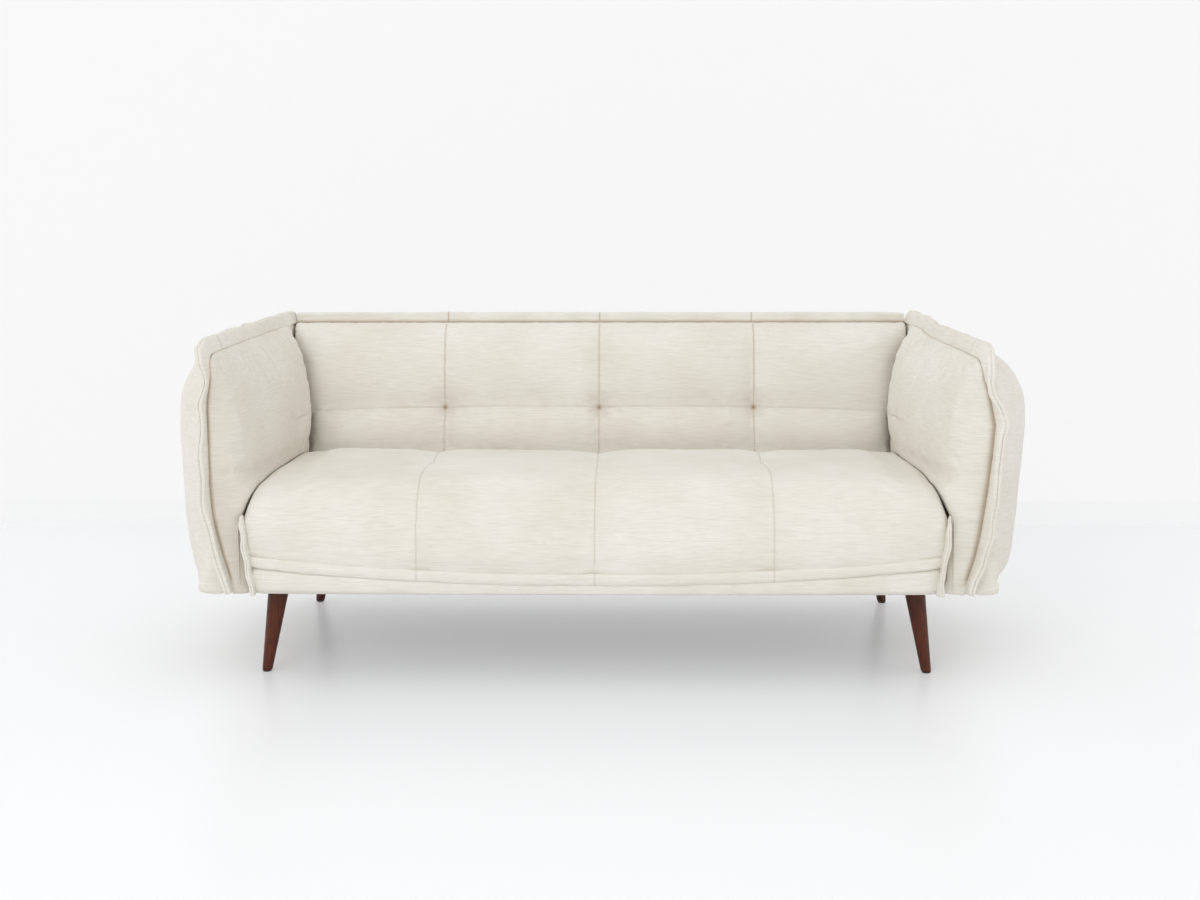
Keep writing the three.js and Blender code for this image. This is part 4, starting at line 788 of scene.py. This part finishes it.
def make_outer_pad(label, side):
    """The panel that faces away from the sitter, fuller at its low front corner."""
    outer = merged_copy(f"{label}_arm_outer_pad", f"{label}_arm_outer_cover")
    let_down_underside(outer)
    puff(outer, 0.008, outer_hold, shrink=0.003, cap=OUTER_SWELL[label], slack=0.01)
    points = points_of(outer)
    x, y, z = np.abs(points[:, 0]), points[:, 1], points[:, 2]
    outset = x - ridge_x(y, z)
    # The low front corner is squarer than the rest, where the cloth is folded under
    corner = bell(y - ARM_FRONT - 0.008, 0.034) * bell(z - ARM_UNDERSIDE, 0.055)
    fuller = corner * rise(outset, 0, 0.012) * LOW_CORNER_FILLING[label]
    points[:, 0] += side * fuller
    set_points(outer, points)
    x = np.abs(points[:, 0])
    pucker = soft_noise(points * (0.4, 1, 1), 0.016, 16 + side) * 0.0012 * bell(outset - 0.025, 0.018)
    broad = soft_noise(points, 0.17, 19 + side) * 0.0025
    filling = OUTER_FILLING[label] * rise(outset, 0.01, 0.08) * rise(z, 0.21, 0.05)
    press(outer, pucker - filling + broad * rise(z, 0.22, 0.03))
    set_points(outer, draw_ridge(label, side, points_of(outer)))
    finish_pad(outer)
    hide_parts(f"{label}_arm_outer_pad")
    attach(outer, "base")


# Flanges
HEM_ROWS = 6


def hem_layer(name, path, outward, across, width, thickness, root, sway, slim):
    """One folded layer of cloth that stands along a seam. sway is how far each point of its free edge
    leans across, and slim is the share of its thickness that the cloth has there."""
    bpy.ops.object.select_all(action="DESELECT")
    bpy.ops.mesh.primitive_grid_add(x_subdivisions=len(path) - 1, y_subdivisions=HEM_ROWS - 1, size=1)
    layer = bpy.context.object
    layer.name = layer.data.name = name
    flat = points_of(layer) + 0.5
    column = np.rint(flat[:, 0] * (len(path) - 1)).astype(int)
    share = flat[:, 1]
    height = share * (width[column] + root) - root
    risen = np.clip(height / width[column], 0, 1)
    lean = sway[column] * risen ** 1.4
    set_points(layer, path[column] + outward[column] * height[:, None] + across[column] * lean[:, None])
    group = layer.vertex_groups.new(name="full")
    for point, full in enumerate((0.55 + 0.45 * share) * slim[column]):
        group.add([point], float(full), "REPLACE")
    apply_modifier(layer, "SOLIDIFY", thickness=thickness, offset=0, vertex_group="full")
    apply_modifier(layer, "SUBSURF", levels=1, render_levels=1)
    choose(layer)
    bpy.ops.object.mode_set(mode="EDIT")
    bpy.ops.mesh.select_all(action="SELECT")
    bpy.ops.mesh.normals_make_consistent(inside=False)
    bpy.ops.object.mode_set(mode="OBJECT")
    layer.data.materials.append(LINEN)
    return layer


def make_flange(
    name, path, outward, across, width, thickness, root, seed, wave, gathers=(), kinks=(), tapered=0,
):
    """Two folded layers of cloth, sewn together at the root and standing side by side, with a wavy
    edge. path, outward and across are places and directions along the seam. gathers are places where the
    cloth is drawn up, each with its reach and depth, and kinks are places where its edge is pushed
    across, each with its reach and push. It narrows to nothing over the length tapered at the path's
    far end."""
    steps = np.linalg.norm(np.diff(path, axis=0), axis=1)
    run = np.concatenate([[0], np.cumsum(steps)])
    line = np.column_stack([run, run * 0, run * 0])
    slow = soft_noise(line, 0.040, seed) * wave
    drawn = np.zeros(len(run))
    for place, reach, depth in gathers:
        drawn += bell(np.linalg.norm(path - place, axis=1), reach) * depth
    slow += soft_noise(line, 0.006, seed + 1) * drawn
    for place, reach, push in kinks:
        slow += bell(np.linalg.norm(path - place, axis=1), reach) * push
    slim = np.ones(len(run))
    if tapered:
        slim = 0.15 + 0.85 * np.sqrt(np.clip((run[-1] - run) / tapered, 0, 1))
    layers = []
    for number, way in enumerate((-1, 1)):
        quick = soft_noise(line, 0.012, seed + 2 + number) * wave * 0.12
        high = width * (1 + 0.03 * soft_noise(line, 0.035, seed + 4 + number)) - drawn * 0.3
        high *= slim
        apart = across * (way * thickness * 0.44 * slim)[:, None]
        sway = slow + quick
        layers.append(hem_layer(
            f"{name}_{number}", path + apart, outward, across, high, thickness, root, sway, slim,
        ))
    bpy.ops.object.select_all(action="DESELECT")
    for layer in layers:
        layer.select_set(True)
    bpy.context.view_layer.objects.active = layers[0]
    bpy.ops.object.join()
    flange = layers[0]
    flange.name = flange.data.name = name
    flange.vertex_groups.clear()
    return flange


def sew_on(flange, node, body, dark):
    """dark is how much painted shade each point of the flange gets, in its seams and creases."""
    mark_painted_shade(flange, dark)
    finish_pad(flange)
    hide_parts(node)
    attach(flange, body)


def evenly(points, spacing):
    """The same line with its points at even distances."""
    points = np.asarray(points, float)
    along = np.concatenate([[0], np.cumsum(np.linalg.norm(np.diff(points, axis=0), axis=1))])
    wanted = np.linspace(0, along[-1], int(along[-1] / spacing) + 1)
    return np.column_stack([np.interp(wanted, along, points[:, k]) for k in range(3)])


# Height on the arm's front, reach and outward push of each place where the flange is creased
ARM_KINKS = {
    "left": ((0.745, 0.030, 0.004), (0.690, 0.034, -0.012), (0.643, 0.020, 0.004), (0.46, 0.05, 0.004)),
    "right": ((0.745, 0.025, 0.003), (0.680, 0.035, -0.006), (0.590, 0.022, 0.009), (0.35, 0.09, 0.010)),
}


def make_arm_flange(label, side):
    heights = np.linspace(ARM_UNDERSIDE + 0.001, ARM_FRONT_TOP - ARM_CORNER, 40)
    front = [(ARM_FRONT, z) for z in heights]
    top = [(y, float(arm_top(y))) for y in (
        *(ARM_FRONT + ARM_CORNER * (1 - math.cos(a)) for a in np.linspace(0, math.pi / 2, 14)),
        *np.linspace(ARM_FRONT + ARM_CORNER, ARM_REAR - ARM_CORNER, 60)[1:-1],
        *(ARM_REAR - ARM_CORNER * (1 - math.cos(a)) for a in np.linspace(math.pi / 2, 0, 14)),
    )]
    rear = [(ARM_REAR, z) for z in np.linspace(ARM_REAR_TOP - ARM_CORNER, ARM_UNDERSIDE + 0.001, 40)]
    line = [(side * float(ridge_x(y, z)), y, z) for y, z in front + top[1:] + rear[1:]]
    path = evenly(line, 0.006)
    along = np.gradient(path, axis=0)
    along /= np.linalg.norm(along, axis=1, keepdims=True)
    across = np.tile([1.0, 0, 0], (len(path), 1))
    across -= along * np.sum(across * along, axis=1, keepdims=True)
    across /= np.linalg.norm(across, axis=1, keepdims=True)
    outward = np.cross(across, along)
    centre = np.array([0, (ARM_FRONT + ARM_REAR) / 2, 0.48])
    if np.sum(outward[0] * (path[0] - centre)) < 0:
        outward = -outward
    lean = 0.1 + 0.3 * rise(path[:, 2], 0.66, 0.08)
    outward = outward + across * (side * lean)[:, None]
    outward /= np.linalg.norm(outward, axis=1, keepdims=True)
    corner = np.array([side * float(ridge_x(ARM_FRONT, 0.74)), ARM_FRONT + 0.01, 0.745])
    rear_corner = np.array([side * float(ridge_x(ARM_REAR, 0.76)), ARM_REAR - 0.03, 0.765])
    gathers = ((corner, 0.03, 0.003), (rear_corner, 0.05, 0.003))
    kinks = [
        (np.array([side * float(ridge_x(ARM_FRONT, z)), ARM_FRONT, z]), reach, side * push)
        for z, reach, push in ARM_KINKS[label]
    ]
    flange = make_flange(
        f"{label}_arm_hem", path, outward, across, ARM_HEM_WIDTH, thickness=0.0092, root=0.012,
        seed=30 + 10 * side, wave=0.0035, gathers=gathers, kinks=kinks,
    )
    points = points_of(flange)
    y, z = points[:, 1], points[:, 2]
    on_top = rise(z, 0.74, 0.01)
    # Painted shade in a seam that crosses the flange's top
    crossing = bell(y + 0.30, 0.0016) * on_top * 0.6
    set_points(flange, draw_ridge(label, side, points))
    sew_on(flange, f"{label}_arm_flange", "base", crossing)


def make_back_flange():
    xs = np.linspace(-BACK_HALF_WIDTH - 0.004, BACK_HALF_WIDTH + 0.004, 270)
    y, z = from_back(BACK_RIDGE, BACK_TOP)
    path = np.column_stack([xs, np.full_like(xs, y), np.full_like(xs, z)])
    outward = np.tile([0, math.sin(BACK_LEAN), math.cos(BACK_LEAN)], (len(xs), 1))
    across = np.tile([0, -math.cos(BACK_LEAN), math.sin(BACK_LEAN)], (len(xs), 1))
    ends = [(np.array([way * BACK_HALF_WIDTH, y, z]), 0.03, 0.004) for way in (-1, 1)]
    flange = make_flange(
        "back_top_hem", path, outward, across, width=0.0262, thickness=0.0048, root=0.012, seed=11,
        wave=0.003, gathers=ends,
    )
    x = points_of(flange)[:, 0]
    forward, up = up_back(points_of(flange))
    along = off_seam(x)
    # Painted shade in the flange's seams and along its base at the front
    low = 0.7 * bell(up - BACK_TOP + 0.002, 0.005) * (forward > BACK_RIDGE)
    sew_on(flange, "back_top_flange", "back", np.maximum(bell(along, 0.0016) * 0.6, low))


def make_corner_flange(label, side):
    low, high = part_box(f"{label}_seat_corner_flange")
    node_points = np.array([v.co for v in nodes[f"{label}_seat_corner_flange"].data.vertices])
    heights = np.linspace(low.z + 0.0005, high.z - 0.0005, 60)
    path = []
    for z in heights:
        near = node_points[np.abs(node_points[:, 2] - z) < 0.008]
        path.append((near[:, 0].mean(), near[:, 1].max(), z))
    path = np.array(path)
    for _ in range(3):
        path[1:-1, :2] = (path[:-2, :2] + path[1:-1, :2] + path[2:, :2]) / 3
    outward = np.tile([side * 0.25, -1.0, 0], (len(path), 1))
    outward /= np.linalg.norm(outward, axis=1, keepdims=True)
    across = np.tile([1.0, 0, 0], (len(path), 1))
    flange = make_flange(
        f"{label}_seat_hem", path, outward, across, width=0.0150, thickness=0.0058, root=0.006,
        seed=60 + 10 * side, wave=0.003, tapered=0.035,
    )
    sew_on(flange, f"{label}_seat_corner_flange", "base", np.zeros(len(flange.data.vertices)))


# Plain linen over the frame, where the pads leave it bare
def make_cover(name, low, high, edge, cut=None, tilt=0.0):
    """A thin panel of linen between two corners, tilted about its middle. cut is a point and a direction:
    what lies beyond is cut away."""
    bpy.ops.object.select_all(action="DESELECT")
    middle = [(a + b) / 2 for a, b in zip(low, high)]
    bpy.ops.mesh.primitive_cube_add(size=1, location=middle, rotation=(tilt, 0, 0))
    cover = bpy.context.object
    cover.name = cover.data.name = name
    cover.scale = [b - a for a, b in zip(low, high)]
    bpy.ops.object.transform_apply(location=True, rotation=True, scale=True)
    if cut:
        bpy.ops.object.mode_set(mode="EDIT")
        bpy.ops.mesh.select_all(action="SELECT")
        bpy.ops.mesh.bisect(plane_co=cut[0], plane_no=cut[1], use_fill=True, clear_outer=True)
        bpy.ops.object.mode_set(mode="OBJECT")
    apply_modifier(cover, "BEVEL", width=edge, segments=3)
    cover.data.materials.append(LINEN)
    choose(cover)
    bpy.ops.object.shade_smooth_by_angle(angle=math.radians(40))
    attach(cover, "base")


def to_side(side, inner, outer):
    """Where something begins and ends along X that lies between two distances from the middle."""
    return (inner, outer) if side > 0 else (-outer, -inner)


CLOTH_THICKNESS, CLOTH_EDGE, CLOTH_SLIT = 0.0013, 0.0005, 0.0003
# The linings that show from the front run between these heights
LINING_LOW, LINING_HIGH = 0.2065, 0.372


def make_arm_linings(label, side):
    """Linen tacked to the inside of the arm: down beside the seat, behind the pad where the back swings,
    and over the ends of the board and the rail at the rear."""
    board_low, board_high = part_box(f"{label}_arm_board")
    rail_low, rail_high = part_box(f"{label}_side_rail")
    board = min(abs(board_low.x), abs(board_high.x))
    board_outer = max(abs(board_low.x), abs(board_high.x))
    rail = min(abs(rail_low.x), abs(rail_high.x))
    cloth, edge, slit = CLOTH_THICKNESS, CLOTH_EDGE, CLOTH_SLIT
    # The board's upper rear corner is cut off at 45 degrees
    cut = (0, board_high.y, board_high.z - BOARD_CORNER), (0, 1, 1)

    near, far = to_side(side, board - cloth - slit, board - slit)
    make_cover(
        f"{label}_arm_lining_front", (near, ARM_FRONT + 0.004, LINING_LOW),
        (far, rail_low.y - slit, LINING_HIGH), edge,
    )
    make_cover(
        f"{label}_arm_lining_rear", (near, SEAT_REAR, rail_high.z + slit),
        (far, board_high.y, board_high.z), edge, cut,
    )
    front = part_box("front_rail")[0].y - slit
    near, far = to_side(side, rail - 0.03, board - cloth - 2 * slit)
    make_cover(
        f"{label}_front_rail_cover", (near, front - cloth, LINING_LOW), (far, front, LINING_HIGH), edge,
    )
    near, far = to_side(side, board + slit, board_outer)
    make_cover(
        f"{label}_board_end_cover", (near, board_high.y + slit, board_low.z + slit),
        (far, board_high.y + slit + cloth, board_high.z - BOARD_CORNER), edge,
    )
    # Over the board's cut corner
    slope = BOARD_CORNER * math.sqrt(2) / 2
    off = BOARD_CORNER / 2 - (slit + cloth / 2) / math.sqrt(2)
    y, z = board_high.y - off, board_high.z - off
    make_cover(
        f"{label}_board_corner_cover", (near, y - slope, z - cloth / 2),
        (far, y + slope, z + cloth / 2), edge, tilt=math.radians(-45),
    )
    near, far = to_side(side, rail, board - 2 * slit)
    make_cover(
        f"{label}_rail_end_cover", (near, rail_high.y + slit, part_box("rear_rail")[1].z + 0.003),
        (far, rail_high.y + slit + cloth, rail_high.z), edge,
    )


def make_rear_rail_cover():
    """Linen wrapped round the rear rail."""
    low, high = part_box("rear_rail")
    wrap, slit = 0.0022, 0.0002
    make_cover(
        "rear_rail_cover", (low.x - slit, low.y - wrap, low.z - slit),
        (high.x + slit, high.y + wrap, high.z + wrap), 0.0015,
    )


seat_pad = make_seat()
make_front_strip("seat_front_fold", "seat_front_tuck", 0.0015, lift=0.007, sewn_through=1)
make_front_strip("seat_front_border", "seat_lower_border", 0.0, lift=0.0055, sewn_through=0)
make_back_front()
make_back_rear()
make_back_flange()
for label, side in SIDES.items():
    make_inner_pad(label, side, seat_pad)
    make_outer_pad(label, side)
    make_arm_flange(label, side)
    make_corner_flange(label, side)
    make_arm_linings(label, side)
make_rear_rail_cover()


# Room and light
def room_material(name, colour, roughness, seen, glow):
    """A painted surface whose pale tone is what a camera, a gloss or a glass sees: seen is the share of
    that tone, and the rest is lit as the paint is, so that shadows show. From behind it is clear, so that
    the sofa shows from every side."""
    material, tree, shader, where = start_material(name)
    feed(tree, shader, Base_Color=linear(colour), Roughness=roughness)
    path = add(tree, "ShaderNodeLightPath")
    rays = add(
        tree, "ShaderNodeMath", {"operation": "ADD"}, _0=path.outputs["Is Camera Ray"],
        _1=path.outputs["Is Glossy Ray"],
    )
    rays = add(
        tree, "ShaderNodeMath", {"operation": "ADD"}, _0=rays.outputs[0],
        _1=path.outputs["Is Transmission Ray"],
    )
    share = add(
        tree, "ShaderNodeMath", {"operation": "MULTIPLY", "use_clamp": True}, _0=rays.outputs[0], _1=seen,
    )
    tone = add(tree, "ShaderNodeEmission", Color=linear(glow), Strength=1.0)
    mixed = add(tree, "ShaderNodeMixShader", _0=share.outputs[0], _1=shader.outputs[0], _2=tone.outputs[0])
    face = add(tree, "ShaderNodeNewGeometry")
    clear = add(tree, "ShaderNodeBsdfTransparent")
    one_way = add(
        tree, "ShaderNodeMixShader", _0=face.outputs["Backfacing"], _1=mixed.outputs[0], _2=clear.outputs[0],
    )
    tree.links.new(one_way.outputs[0], tree.nodes["Material Output"].inputs["Surface"])
    return material


ROOM_WIDTH, WALL_HEIGHT, SKIRTING_HEIGHT = 30, 10, 0.08
WALL_Y, SKIRTING_Y = 1.47, 1.455


def make_surface(name, place, size, upright, material):
    turn = (math.radians(90), 0, 0) if upright else (0, 0, 0)
    bpy.ops.mesh.primitive_plane_add(size=1, location=place, rotation=turn)
    surface = bpy.context.object
    surface.name = name
    surface.scale = (*size, 1)
    surface.data.materials.append(material)
    return surface


def make_room():
    satin = room_material("floor, white satin", "#F6F7F8", 0.3, 0.25, "#FDFDFD")
    paint = room_material("wall, matt white paint", "#F5F5F6", 0.9, 0.85, "#F8F8F8")
    gloss = room_material("skirting, white paint", "#F3F4F5", 0.5, 0.7, "#F7F7F7")
    wall_place, skirting_place = (0, WALL_Y, WALL_HEIGHT / 2), (0, SKIRTING_Y, SKIRTING_HEIGHT / 2)
    bpy.ops.object.select_all(action="DESELECT")
    make_surface("floor", (0, 0, 0), (ROOM_WIDTH, ROOM_WIDTH), False, satin)
    make_surface("wall", wall_place, (ROOM_WIDTH, WALL_HEIGHT), True, paint)
    make_surface("skirting", skirting_place, (ROOM_WIDTH, SKIRTING_HEIGHT), True, gloss)


def add_light(name, place, target, size, power, colour="#FFFFFF"):
    light = bpy.data.lights.new(name, "AREA")
    light.shape = "DISK"
    light.size = size
    light.energy = power
    light.color = linear(colour)[:3]
    holder = bpy.data.objects.new(name, light)
    holder.location = place
    holder.rotation_euler = (Vector(target) - Vector(place)).to_track_quat("-Z", "Y").to_euler()
    scene.collection.objects.link(holder)


make_room()
add_light("key", (-2.5, -6.5, 4.6), (0, 0, 0.4), 4.0, 118)
add_light("window", (-6.5, -1.5, 1.6), (0, 0, 0.5), 3.0, 26, "#F4F8FF")
add_light("fill", (5.5, -3.8, 1.6), (0, 0, 0.5), 3.0, 31)
world = bpy.data.worlds.new("studio")
scene.world = world
world.use_nodes = True
feed(world.node_tree, world.node_tree.nodes["Background"], Color=linear("#FEFEFF"), Strength=0.89)
scene.view_settings.view_transform = "Standard"
